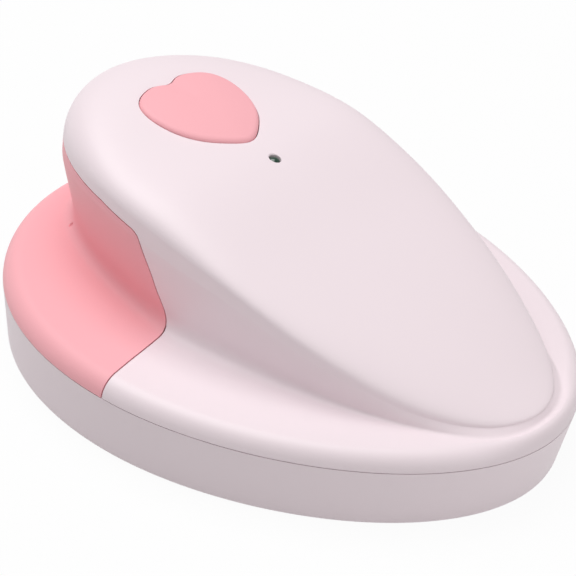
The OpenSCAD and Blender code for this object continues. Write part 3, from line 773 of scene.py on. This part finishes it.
def lower_form(name, d, bottom, top, steps, turns=TURNS):
    """The tray's form, drawn in by d: a round at the bottom and a drafted side up to the top."""
    rings = []
    for i in range(turns):
        a = i * 2 * math.pi / turns
        ring = []
        for s in steps:
            height = bottom + SOLE_ROUND * (1 - math.cos(s))
            ring.append(at(egg(a, d + DRAFT + SOLE_ROUND * (1 - math.sin(s))), height))
        side_low = ring[-1]
        side_top = at(egg(a, d), top)
        ring += [mix(side_low, side_top, t) for t in (0.25, 0.5, 0.75, 0.97)]
        ring.append(side_top)
        rings.append(ring)
    return loft(name, rings, (0, 0, bottom), (0, 0, top))


def door_outline(d, corner, steps=8):
    """Plan of the door or its opening, drawn in by d: round at the front corners, square at the hinge."""
    w, front = DOOR_W / 2 - d, DOOR_FRONT + d
    arc = [math.radians(90 * i / steps) for i in range(steps + 1)]
    points = [(-w, DOOR_REAR - d)]
    points += [(-w + corner * (1 - math.cos(t)), front + corner * (1 - math.sin(t))) for t in arc]
    points += [(w - corner * (1 - math.sin(t)), front + corner * (1 - math.cos(t))) for t in arc]
    return points + [(w, DOOR_REAR - d)]


def egg_ring(outer, inner, z0, z1):
    """Ring between two egg outlines: the lip that locates the upper shells."""
    angles = np.arange(COARSE_TURNS) * 2 * math.pi / COARSE_TURNS
    ring = prism([tuple(egg(a, outer)) for a in angles], z0, z1)
    return combine(ring, prism([tuple(egg(a, inner)) for a in angles], z0 - 1, z1 + 1), "DIFFERENCE")


outer_steps, inner_steps = np.radians(np.linspace(0, 90, 9)), np.radians((0, 45, 90))
lower = lower_form("lower_shell_skin", 0, 0, PARTING_Z - PARTING_GAP, outer_steps)
combine(lower, lower_form("tray", WALL, SOLE, PARTING_Z + 1, inner_steps, COARSE_TURNS), "DIFFERENCE")
combine(lower, egg_ring(LIP_IN, WALL + LIP_FIT, PARTING_Z - LIP_LOW, PARTING_Z + LIP_HIGH), "UNION")
for side in (-1, 1):
    fence = block(side * FENCE_X - FENCE_HALF, side * FENCE_X + FENCE_HALF, FENCE_FRONT, FENCE_REAR,
                  SOLE - ROOT_IN, FENCE_TOP)
    combine(lower, fence, "UNION")
at_probe = Matrix.Translation((0, PROBE_Y, 0))
combine(lower, rod(PROBE_R + COLLAR_OUT, SOLE - ROOT_IN, COLLAR_TOP, at_probe, 96), "UNION")
combine(lower, rod(PROBE_R + COLLAR_IN, SOLE, COLLAR_TOP + COLLAR_PAST, at_probe, 96), "DIFFERENCE")
for x, y in SCREWS:
    combine(lower, rod(BOSS_R, SOLE - ROOT_IN, BOSS_TOP, Matrix.Translation((x, y, 0)), 48), "UNION")
combine(lower, rod(PROBE_R + PROBE_GAP, -1, 4, at_probe, 128), "DIFFERENCE")
window_chamfer = rod(PROBE_R + CHAMFER_LOW_R, -CHAMFER_REACH, CHAMFER_REACH, at_probe, 128,
                     PROBE_R + CHAMFER_TOP_R)
combine(lower, window_chamfer, "DIFFERENCE")
combine(lower, prism(door_outline(0, DOOR_CORNER), -1, 3), "DIFFERENCE")
door_chamfer = prism(door_outline(-DOOR_CHAMFER, DOOR_CORNER + DOOR_CHAMFER), -CHAMFER_REACH, CHAMFER_REACH,
                     top=door_outline(0.01, DOOR_CORNER))
combine(lower, door_chamfer, "DIFFERENCE")
pin_reach = DOOR_W / 2 + PIN_OUT
at_hinge = Matrix.Translation((0, HINGE_Y, HINGE_Z)) @ ALONG_X
combine(lower, rod(PIN_R + PIN_FIT, -pin_reach - PIN_END, pin_reach + PIN_END, at_hinge, 32), "DIFFERENCE")
combine(lower, ball(NOTCH_R, NOTCH_AT, 48), "DIFFERENCE")
for x, y in SCREWS:
    at_screw = Matrix.Translation((x, y, 0))
    combine(lower, rod(SCREW_HOLE_R, -1, SCREW_HOLE, at_screw, 48), "DIFFERENCE")
    screw_chamfer = rod(SCREW_CHAMFER_R, -SCREW_CHAMFER, SCREW_CHAMFER, at_screw, 48, SCREW_HOLE_R)
    combine(lower, screw_chamfer, "DIFFERENCE")
smooth(lower)
placed(lower, "root", ["lower_shell"], "white_plastic")

# %% [markdown]
# ## Heart button
# The button's top is slightly crowned and rolls over a soft rim into a short skirt, which drops into its
# opening with a hairline gap all round. A flange below keeps it in, and a stem reaches down to the switch.
# A bevelled curve could make the heart, but rings drawn in along its outline keep the rim even at the notch
# and the tip, and let it fall away with the pod.

# %% Heart button
BUTTON_TURNS = 180
HEART_PROUD, RIM_ROLL = 1.0, 1.3
DOME_REACH, DOME_RISE, DOME_TOP = 8, 0.6, 0.62
FLANGE_Z, FLANGE_T, FLANGE_OUT = -4.0, 0.7, 1.5
STEM_LOW, STEM_R = -4.58, 2.4
FALL_ACROSS, FALL_ALONG = 0.001, 0.0012


def heart_drop(x, y, z):
    """The pod falls away on every side, so the heart's rim does too."""
    return 0.0 if z < 0 else FALL_ACROSS * x * x + FALL_ALONG * y * y


rim = [(0.0, 0.0)] + [(RIM_ROLL * (1 - math.cos(t)), HEART_PROUD * math.sin(t))
                      for t in np.radians(np.linspace(10, 90, 9))]
dome = [(RIM_ROLL + DOME_REACH * t, HEART_PROUD + DOME_RISE * (1 - (1 - t) ** 2))
        for t in np.linspace(0.1, 1, 8)]
flange = [(-FLANGE_OUT, FLANGE_Z), (-FLANGE_OUT, FLANGE_Z + FLANGE_T), (0, FLANGE_Z + FLANGE_T)]
sections = []
for i in range(BUTTON_TURNS):
    ring = []
    for d, z in flange + rim + dome:
        x, y = heart(i * 2 * math.pi / BUTTON_TURNS, d)
        ring.append(tuple(ON_HEART @ Vector((x, y, z - heart_drop(x, y, z)))))
    sections.append(ring)
button = loft("heart_button_skin", sections, tuple(ON_HEART @ Vector((0, HEART_MIDDLE, FLANGE_Z))),
              tuple(ON_HEART @ Vector((0, HEART_MIDDLE, HEART_PROUD + DOME_TOP))))
combine(button, rod(STEM_R, STEM_LOW, FLANGE_Z + 0.1, ON_HEART, 48), "UNION")
smooth(button, 40)
placed(button, "button", ["heart_button"], "pink_plastic")

# %% [markdown]
# ## Status light
# A dark green 3 mm lens whose dome just reaches the surface. Its flange lies under the wall, and its two legs
# go down to the board. It is one turned profile, because a ball on a cylinder would show a line between them.

# %% Status light
LED_R, LED_UNDER = 1.5, 0.05
LED_FLANGE_Z, LED_FLANGE_R, LED_FLANGE_T = -6.6, 1.9, 0.9
LEG_IN, LEG_OUT, LEG_HALF, LEG_UP = 0.85, 1.35, 0.25, 0.2
BOARD_Z = -9.0
led_top = led_skin - LED_UNDER
body = [(LED_FLANGE_R, LED_FLANGE_Z), (LED_FLANGE_R, LED_FLANGE_Z + LED_FLANGE_T),
        (LED_R, LED_FLANGE_Z + LED_FLANGE_T)]
body += [(LED_R * math.cos(t), led_top - LED_R + LED_R * math.sin(t))
         for t in np.radians(np.linspace(0, 84, 12))]
led = turned("status_led_lens", body, LED_FLANGE_Z, led_top, at_led, 48)
smooth(led)
placed(led, "root", ["status_led"], "led_lens")
legs, other_leg = (block(low, high, -LEG_HALF, LEG_HALF, BOARD_Z, LED_FLANGE_Z + LEG_UP, at_led)
                   for low, high in ((-LEG_OUT, -LEG_IN), (LEG_IN, LEG_OUT)))
combine(legs, other_leg, "UNION")
legs.name = "status_led_legs"
placed(legs, "root", [], "steel")

# %% [markdown]
# ## Headphone sockets
# Each socket is a black moulded body behind the wall, with a round nose that shows in the recess. The nose
# has a bevelled edge, and a bright ring lines the mouth of its bore. The ring is a piece of its own, because
# one piece has one finish here.

# %% Headphone sockets
JACK_BODY_W, JACK_BODY_H, JACK_BODY_R = 10, 9.2, 0.5
JACK_BODY_FRONT, JACK_BODY_BACK, JACK_NOSE = 4, 18, 5
JACK_BEVEL = 0.35
RING_R, RING_TOP_R, RING_IN, RING_PROUD, RING_FIT = 2.4, 2.25, 0.4, 0.12, 0.02
for side, word in ((-1, "left"), (1, "right")):
    case = rounded_rectangle(JACK_BODY_W, JACK_BODY_H, JACK_BODY_R, x=side * JACK_X, y=JACK_Z)
    jack = prism(case, JACK_BODY_FRONT - JACK_FACE, JACK_BODY_BACK - JACK_FACE,
                 Matrix.Rotation(math.pi / 2, 4, "X"))
    nose = [(JACK_NOSE_R, -JACK_NOSE), (JACK_NOSE_R, -JACK_BEVEL), (JACK_NOSE_R - JACK_BEVEL, 0)]
    combine(jack, turned("nose", nose, -JACK_NOSE, 0, at_jack(side)), "UNION")
    combine(jack, rod(JACK_BORE_R, -JACK_BORE, 1, at_jack(side)), "DIFFERENCE")
    jack.name = f"headphone_jack_{word}_body"
    smooth(jack)
    placed(jack, "root", [f"headphone_jack_{word}"], "black_plastic")
    lining = [(RING_R, -RING_IN), (RING_R, 0), (RING_TOP_R, RING_PROUD)]
    ring = turned(f"headphone_jack_{word}_ring", lining, -RING_IN, RING_PROUD, at_jack(side))
    combine(ring, rod(JACK_BORE_R + RING_FIT, -1, 1, at_jack(side)), "DIFFERENCE")
    smooth(ring)
    placed(ring, "root", [], "steel")

# %% [markdown]
# ## Battery door
# A flat plate that swings about two pins at its rounded rear end. At its free end it has a finger notch, four
# grip grooves and a moulded arrow that shows which way to press, and a latch behind its front edge.
# It could start as its plan, but the round end shows only from the side. So the side view is drawn first and
# stretched across, and the plan then trims it to the opening.

# %% Battery door
EDGE, EDGE_IN, PLAN_CORNER = 0.35, 0.2, 1.3
GROOVES, GROOVE_PITCH, GROOVE_L, GROOVE_W, GROOVE_R, GROOVE_DEEP = 4, 2.0, 10, 0.8, 0.39, 0.45
GROOVE_START, ARROW_GAP, ARROW_DEEP, CUT_BELOW = 6, 6, 0.3, 0.5
ARROW = [(-2.6, -1.5), (2.6, -1.5), (0.0, -4.2)]
LATCH_FRONT, LATCH_TIP, LATCH_BACK, LATCH_HALF_W = 0.8, 1.2, 2.0, 4
LATCH_SHOULDER, LATCH_TOP, LATCH_ROOT = 2.4, 3.2, 0.1
door_high = DOOR_LOW + DOOR_T
front = DOOR_FRONT + DOOR_GAP
side_view = [(front + EDGE, DOOR_LOW), (front, DOOR_LOW + EDGE), (front, door_high - EDGE_IN),
             (front + EDGE_IN, door_high)]
side_view += [(HINGE_Y + DOOR_T / 2 * math.sin(t), HINGE_Z + DOOR_T / 2 * math.cos(t))
              for t in np.radians(np.linspace(0, 180, 25))]
door = prism(side_view, -DOOR_W / 2 + DOOR_GAP, DOOR_W / 2 - DOOR_GAP, ACROSS)
combine(door, prism(door_outline(DOOR_GAP, PLAN_CORNER), -1, 3), "INTERSECT")
half = EDGE / math.sqrt(2)
for side in (-1, 1):
    at_edge = Matrix.Translation((side * (DOOR_W / 2 - DOOR_GAP), 0, DOOR_LOW))
    turned_edge = at_edge @ Matrix.Rotation(math.pi / 4, 4, "Y")
    combine(door, block(-half, half, -20, HINGE_Y - 3, -half, half, turned_edge), "DIFFERENCE")
combine(door, rod(PIN_R, -pin_reach, pin_reach, at_hinge, 32), "UNION")
combine(door, ball(NOTCH_R, NOTCH_AT, 48), "DIFFERENCE")
for i in range(GROOVES):
    y = DOOR_FRONT + GROOVE_START + i * GROOVE_PITCH
    groove = rounded_rectangle(GROOVE_L, GROOVE_W, GROOVE_R, y=y + GROOVE_W / 2)
    combine(door, prism(groove, -CUT_BELOW, DOOR_LOW + GROOVE_DEEP), "DIFFERENCE")
arrow_y = DOOR_FRONT + GROOVE_START + GROOVES * GROOVE_PITCH + ARROW_GAP
combine(door, prism([(x, y + arrow_y) for x, y in ARROW], -CUT_BELOW, DOOR_LOW + ARROW_DEEP), "DIFFERENCE")
latch_side = [(DOOR_FRONT + LATCH_FRONT, door_high - LATCH_ROOT),
              (DOOR_FRONT + LATCH_FRONT, door_high + LATCH_SHOULDER),
              (DOOR_FRONT + LATCH_TIP, door_high + LATCH_TOP),
              (DOOR_FRONT + LATCH_BACK, door_high + LATCH_TOP),
              (DOOR_FRONT + LATCH_BACK, door_high - LATCH_ROOT)]
combine(door, prism(latch_side, -LATCH_HALF_W, LATCH_HALF_W, ACROSS), "UNION")
door.name = "battery_door_plate"
smooth(door)
placed(door, "door", ["battery_door"], "white_plastic")

# %% [markdown]
# ## Transducer window
# A thin disc of harder plastic that is pressed to the skin. Its edge is rounded, so it can be moved about in
# the gel, and a fine line marks where the wall behind it thins. Everything on it is round, so it is turned
# like work on a lathe. Two plain rings near the middle keep the fan of faces there small.

# %% Transducer window
WINDOW_FLANGE, WINDOW_FLANGE_T, WINDOW_ROUND = 2, 1.2, 0.6
LINE_R, LINE_HALF, LINE_FLOOR, LINE_DEEP = 13.6, 0.25, 0.1, 0.12
PLAIN_RINGS = (8, 3)
window_top = SOLE + WINDOW_FLANGE_T
face = [(PROBE_R + WINDOW_FLANGE, window_top), (PROBE_R + WINDOW_FLANGE, SOLE), (PROBE_R, SOLE)]
face += [(PROBE_R - WINDOW_ROUND * (1 - math.cos(t)), WINDOW_ROUND * (1 - math.sin(t)))
         for t in np.radians(np.linspace(0, 90, 8))]
face += [(LINE_R + LINE_HALF, 0), (LINE_R + LINE_FLOOR, LINE_DEEP), (LINE_R - LINE_FLOOR, LINE_DEEP),
         (LINE_R - LINE_HALF, 0)]
face += [(r, 0.0) for r in PLAIN_RINGS]
window = turned("transducer_window_disc", face, window_top, 0.0, at_probe, 160)
smooth(window)
placed(window, "root", ["transducer_window"], "window_plastic")

# %% [markdown]
# ## Screws
# The four housing screws hold the shells together from below. They could be four copies of one mesh, but a
# node tree keeps the screw's sizes as inputs: a bevelled pan head with a cross recess and a shank, repeated
# on four points, each turned by its own seeded amount, as screws are when they have been driven home.

# %% Screws
HEAD_R, HEAD_T, HEAD_BEVEL = 2.4, 1.4, 0.45
SHANK_R, SHANK_L, SHANK_IN, SINK = 1.24, 10.0, 0.2, 1.6
CROSS_L, CROSS_W, CROSS_DEEP = 2.7, 0.62, 0.9


def screw_tree():
    """Node tree that puts a cross-head screw, head down, on every point."""
    tree = bpy.data.node_groups.new("screws", "GeometryNodeTree")
    face = tree.interface
    face.new_socket("Geometry", in_out="INPUT", socket_type="NodeSocketGeometry")
    for label, value in (("Head radius", HEAD_R), ("Head height", HEAD_T - HEAD_BEVEL), ("Bevel", HEAD_BEVEL),
                         ("Shank radius", SHANK_R), ("Shank length", SHANK_L)):
        face.new_socket(label, in_out="INPUT", socket_type="NodeSocketFloat").default_value = value * MM
    face.new_socket("Material", in_out="INPUT", socket_type="NodeSocketMaterial")
    face.new_socket("Geometry", in_out="OUTPUT", socket_type="NodeSocketGeometry")
    nodes, links = tree.nodes, tree.links
    enter, leave = nodes.new("NodeGroupInput"), nodes.new("NodeGroupOutput")

    def moved(mesh, z):
        """The mesh, lifted by z."""
        move = nodes.new("GeometryNodeTransform")
        move.inputs["Translation"].default_value = (0, 0, z * MM)
        links.new(mesh, move.inputs["Geometry"])
        return move.outputs["Geometry"]

    head = nodes.new("GeometryNodeMeshCylinder")
    head.inputs["Vertices"].default_value = 48
    links.new(enter.outputs["Head radius"], head.inputs["Radius"])
    links.new(enter.outputs["Head height"], head.inputs["Depth"])
    bevel = nodes.new("GeometryNodeMeshCone")
    bevel.inputs["Vertices"].default_value = 48
    top_radius = nodes.new("ShaderNodeMath")
    top_radius.operation = "SUBTRACT"
    links.new(enter.outputs["Head radius"], top_radius.inputs[0])
    links.new(enter.outputs["Bevel"], top_radius.inputs[1])
    links.new(enter.outputs["Head radius"], bevel.inputs["Radius Top"])
    links.new(top_radius.outputs[0], bevel.inputs["Radius Bottom"])
    links.new(enter.outputs["Bevel"], bevel.inputs["Depth"])
    shank = nodes.new("GeometryNodeMeshCylinder")
    shank.inputs["Vertices"].default_value = 32
    links.new(enter.outputs["Shank radius"], shank.inputs["Radius"])
    links.new(enter.outputs["Shank length"], shank.inputs["Depth"])
    low = SINK - HEAD_T
    parts = [moved(head.outputs["Mesh"], low + HEAD_BEVEL + (HEAD_T - HEAD_BEVEL) / 2),
             moved(bevel.outputs["Mesh"], low),
             moved(shank.outputs["Mesh"], SINK - SHANK_IN + SHANK_L / 2)]
    union = nodes.new("GeometryNodeMeshBoolean")
    union.operation = "UNION"
    for part in parts:
        links.new(part, union.inputs["Mesh 2"])
    cut = nodes.new("GeometryNodeMeshBoolean")
    cut.operation = "DIFFERENCE"
    links.new(union.outputs["Mesh"], cut.inputs["Mesh 1"])
    for size in ((CROSS_L, CROSS_W), (CROSS_W, CROSS_L)):
        bar = nodes.new("GeometryNodeMeshCube")
        bar.inputs["Size"].default_value = (size[0] * MM, size[1] * MM, 2 * CROSS_DEEP * MM)
        links.new(moved(bar.outputs["Mesh"], low), cut.inputs["Mesh 2"])
    turn = nodes.new("FunctionNodeRandomValue")
    turn.data_type = "FLOAT_VECTOR"
    turn.inputs["Min"].default_value = (0, 0, 0)
    turn.inputs["Max"].default_value = (0, 0, math.pi / 2)
    turn.inputs["Seed"].default_value = 3
    spread = nodes.new("GeometryNodeInstanceOnPoints")
    realize = nodes.new("GeometryNodeRealizeInstances")
    paint = nodes.new("GeometryNodeSetMaterial")
    links.new(enter.outputs["Geometry"], spread.inputs["Points"])
    links.new(cut.outputs["Mesh"], spread.inputs["Instance"])
    links.new(turn.outputs["Value"], spread.inputs["Rotation"])
    links.new(spread.outputs["Instances"], realize.inputs["Geometry"])
    links.new(realize.outputs["Geometry"], paint.inputs["Geometry"])
    links.new(enter.outputs["Material"], paint.inputs["Material"])
    links.new(paint.outputs["Geometry"], leave.inputs["Geometry"])
    return tree


def socket_id(tree, label):
    """Identifier of a named input, by which a modifier's value is set."""
    return next(i.identifier for i in tree.interface.items_tree if i.name == label and i.in_out == "INPUT")


screw_points = bpy.data.meshes.new("housing_screws_set")
screw_points.from_pydata([(x * MM, y * MM, 0) for x, y in SCREWS], [], [])
screws = bpy.data.objects.new("housing_screws_set", screw_points)
scene.collection.objects.link(screws)
spreader = screws.modifiers.new("screws", "NODES")
spreader.node_group = screw_tree()
spreader[socket_id(spreader.node_group, "Material")] = MATERIALS["steel"]
applied(screws)
tidy(screws)
smooth(screws)
placed(screws, "root", ["housing_screws"], "steel")
zs = [v.co.z / MM for v in screws.data.vertices]
print("screws from", round(min(zs), 2), "to", round(max(zs), 2), "mm above the sole's plane")

# %% [markdown]
# ## Battery
# The block battery seen when the door is open: a foil-wrapped case whose two ends are rolled over a plain
# end plate. A bevelled box has no rolled end, so the case is a loft of rounded rectangles along its length.

# %% Battery
BATTERY_W, BATTERY_L, BATTERY_H = 26.5, 48.5, 17.5
BATTERY_Y, BATTERY_Z = 11.8, 3.2
END_ROLL, END_SINK, PLATE_IN, CASE_R, CASE_R_LEAST = 0.8, 0.5, 1.6, 1.9, 0.3
# Each ring of the near half: how far it is drawn in, and how far it lies from the end.
END_RINGS = [(PLATE_IN, END_SINK), (END_ROLL, END_SINK), (END_ROLL * 0.6, 0), (0.1, 0.25), (0, 0.7)]
BATTERY_MIDDLE = Matrix.Translation((0, BATTERY_Y, BATTERY_Z + BATTERY_H / 2))
END_TO_END = BATTERY_MIDDLE @ Matrix.Rotation(math.pi / 2, 4, "X")
half_l = BATTERY_L / 2
rings = [(inset, -half_l + depth) for inset, depth in END_RINGS]
rings += [(inset, half_l - depth) for inset, depth in reversed(END_RINGS)]
case_form = []
for inset, along in rings:
    corner = max(CASE_R_LEAST, CASE_R - inset)
    outline = rounded_rectangle(BATTERY_W - 2 * inset, BATTERY_H - 2 * inset, corner, count=10)
    case_form.append([tuple(END_TO_END @ Vector((x, y, along))) for x, y in outline])
battery = loft("battery_9v_case", [list(column) for column in zip(*case_form)],
               tuple(END_TO_END @ Vector((0, 0, -half_l + END_SINK))),
               tuple(END_TO_END @ Vector((0, 0, half_l - END_SINK))))
smooth(battery)
placed(battery, "root", ["battery_9v"], "battery_case")

# %% [markdown]
# ## Inner parts
# The parts inside keep the construction model's own shapes, and each gets its finish here. They could be
# built again at a finer step, but little of them shows, even with the door open.

# %% Inner parts
INNER = {
    "main_board": "board_laminate", "board_chips": "black_plastic", "board_capacitors": "capacitor_sleeve",
    "clock_crystal": "steel", "board_screws": "steel", "switch_body": "black_plastic",
    "switch_plunger": "plunger_plastic", "window_seal": "seal_rubber",
    "transmit_crystal": "crystal_ceramic", "receive_crystal": "crystal_ceramic",
    "transducer_backing": "backing_foam", "transducer_cup": "cup_plastic",
    "transducer_cable": "cable_jacket", "battery_terminals": "steel", "battery_snap": "seal_rubber",
    "battery_leads": "lead_jacket", "door_foam": "foam",
}
for name, slot in INNER.items():
    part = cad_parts[name]
    part.data.materials.clear()
    part.data.materials.append(MATERIALS[slot])
print("inner parts:", len(INNER))

# %% [markdown]
# ## Floor and light
# A white floor with one broad lamp overhead and a low, weak one from the nose's side, as in a catalogue
# picture. More lamps would give more shine, but the plastic is satin and the photograph is evenly lit. The
# camera sees the floor almost pure white, with the object's faint shadow. What the floor throws back up is
# set apart from that, by a grey of its own and a small glow, and from below the floor is clear.

# %% Floor and light
FLOOR_HALF, FLOOR_Z = 3.0, -0.0002
FLOOR_GREY, FLOOR_BOUNCE = 0.45, 0.22
GLOW, GLOW_SHARE = 1.025, 0.9
AMBIENT_TINT, AMBIENT = (1.0, 0.985, 0.985, 1), 0.34
LAMP_TARGET = Vector((0, 0, 0.02))


def either_ray(nodes, links, first, second):
    """1 for a ray of one of two kinds, else 0."""
    path = nodes.new("ShaderNodeLightPath")
    either = nodes.new("ShaderNodeMath")
    either.operation = "MAXIMUM"
    links.new(path.outputs[first], either.inputs[0])
    links.new(path.outputs[second], either.inputs[1])
    return either.outputs[0]


def mixed(nodes, links, factor, first, second):
    """Two shaders mixed by a factor."""
    mixer = nodes.new("ShaderNodeMixShader")
    for given, socket in zip((factor, first, second), mixer.inputs):
        links.new(given, socket)
    return mixer.outputs[0]


def emission(nodes, strength):
    """White glow of that strength."""
    glow = nodes.new("ShaderNodeEmission")
    glow.inputs["Color"].default_value = (1, 1, 1, 1)
    glow.inputs["Strength"].default_value = strength
    return glow.outputs[0]


def floor_material():
    """Grey and a small glow for the light, near white for the camera and for gloss, clear from below."""
    material = bpy.data.materials.new("studio_floor")
    material.use_nodes = True
    nodes, links = material.node_tree.nodes, material.node_tree.links
    nodes.clear()
    matte = nodes.new("ShaderNodeBsdfDiffuse")
    matte.inputs["Color"].default_value = (FLOOR_GREY, FLOOR_GREY, FLOOR_GREY, 1)
    lit = nodes.new("ShaderNodeAddShader")
    links.new(matte.outputs[0], lit.inputs[0])
    links.new(emission(nodes, FLOOR_BOUNCE), lit.inputs[1])
    share = nodes.new("ShaderNodeMath")
    share.operation = "MULTIPLY"
    share.inputs[1].default_value = GLOW_SHARE
    links.new(either_ray(nodes, links, "Is Camera Ray", "Is Glossy Ray"), share.inputs[0])
    above = mixed(nodes, links, share.outputs[0], lit.outputs[0], emission(nodes, GLOW))
    below = nodes.new("ShaderNodeNewGeometry").outputs["Backfacing"]
    clear = nodes.new("ShaderNodeBsdfTransparent").outputs[0]
    out = nodes.new("ShaderNodeOutputMaterial")
    links.new(mixed(nodes, links, below, above, clear), out.inputs["Surface"])
    return material


floor_mesh = bpy.data.meshes.new("studio_floor")
corners = [(x * FLOOR_HALF, y * FLOOR_HALF, FLOOR_Z) for x, y in ((-1, -1), (1, -1), (1, 1), (-1, 1))]
floor_mesh.from_pydata(corners, [], [(0, 1, 2, 3)])
floor = bpy.data.objects.new("studio_floor", floor_mesh)
scene.collection.objects.link(floor)
floor_mesh.materials.append(floor_material())

world = bpy.data.worlds.new("studio")
world.use_nodes = True
scene.world = world
world_nodes, world_links = world.node_tree.nodes, world.node_tree.links
ambient = world_nodes["Background"]
ambient.inputs["Color"].default_value = AMBIENT_TINT
ambient.inputs["Strength"].default_value = AMBIENT
white = world_nodes.new("ShaderNodeBackground")
white.inputs["Color"].default_value = (1, 1, 1, 1)
shown = either_ray(world_nodes, world_links, "Is Camera Ray", "Is Transmission Ray")
backdrop = mixed(world_nodes, world_links, shown, ambient.outputs[0], white.outputs[0])
world_links.new(backdrop, world_nodes["World Output"].inputs["Surface"])


def lamp(name, place, size, power):
    """Square lamp of that size in metres and power in watts, aimed at the object."""
    data = bpy.data.lights.new(name, "AREA")
    data.shape = "SQUARE"
    data.size = size
    data.energy = power
    obj = bpy.data.objects.new(name, data)
    scene.collection.objects.link(obj)
    obj.location = place
    obj.rotation_euler = (LAMP_TARGET - Vector(place)).to_track_quat("-Z", "Y").to_euler()
    print("lamp", name, power, "W")


lamp("overhead", (-0.08, 0.32, 1.0), 0.9, 9.3)
lamp("fill", (0.1, -1.2, 0.2), 0.8, 3.4)
scene.view_settings.view_transform = "Standard"
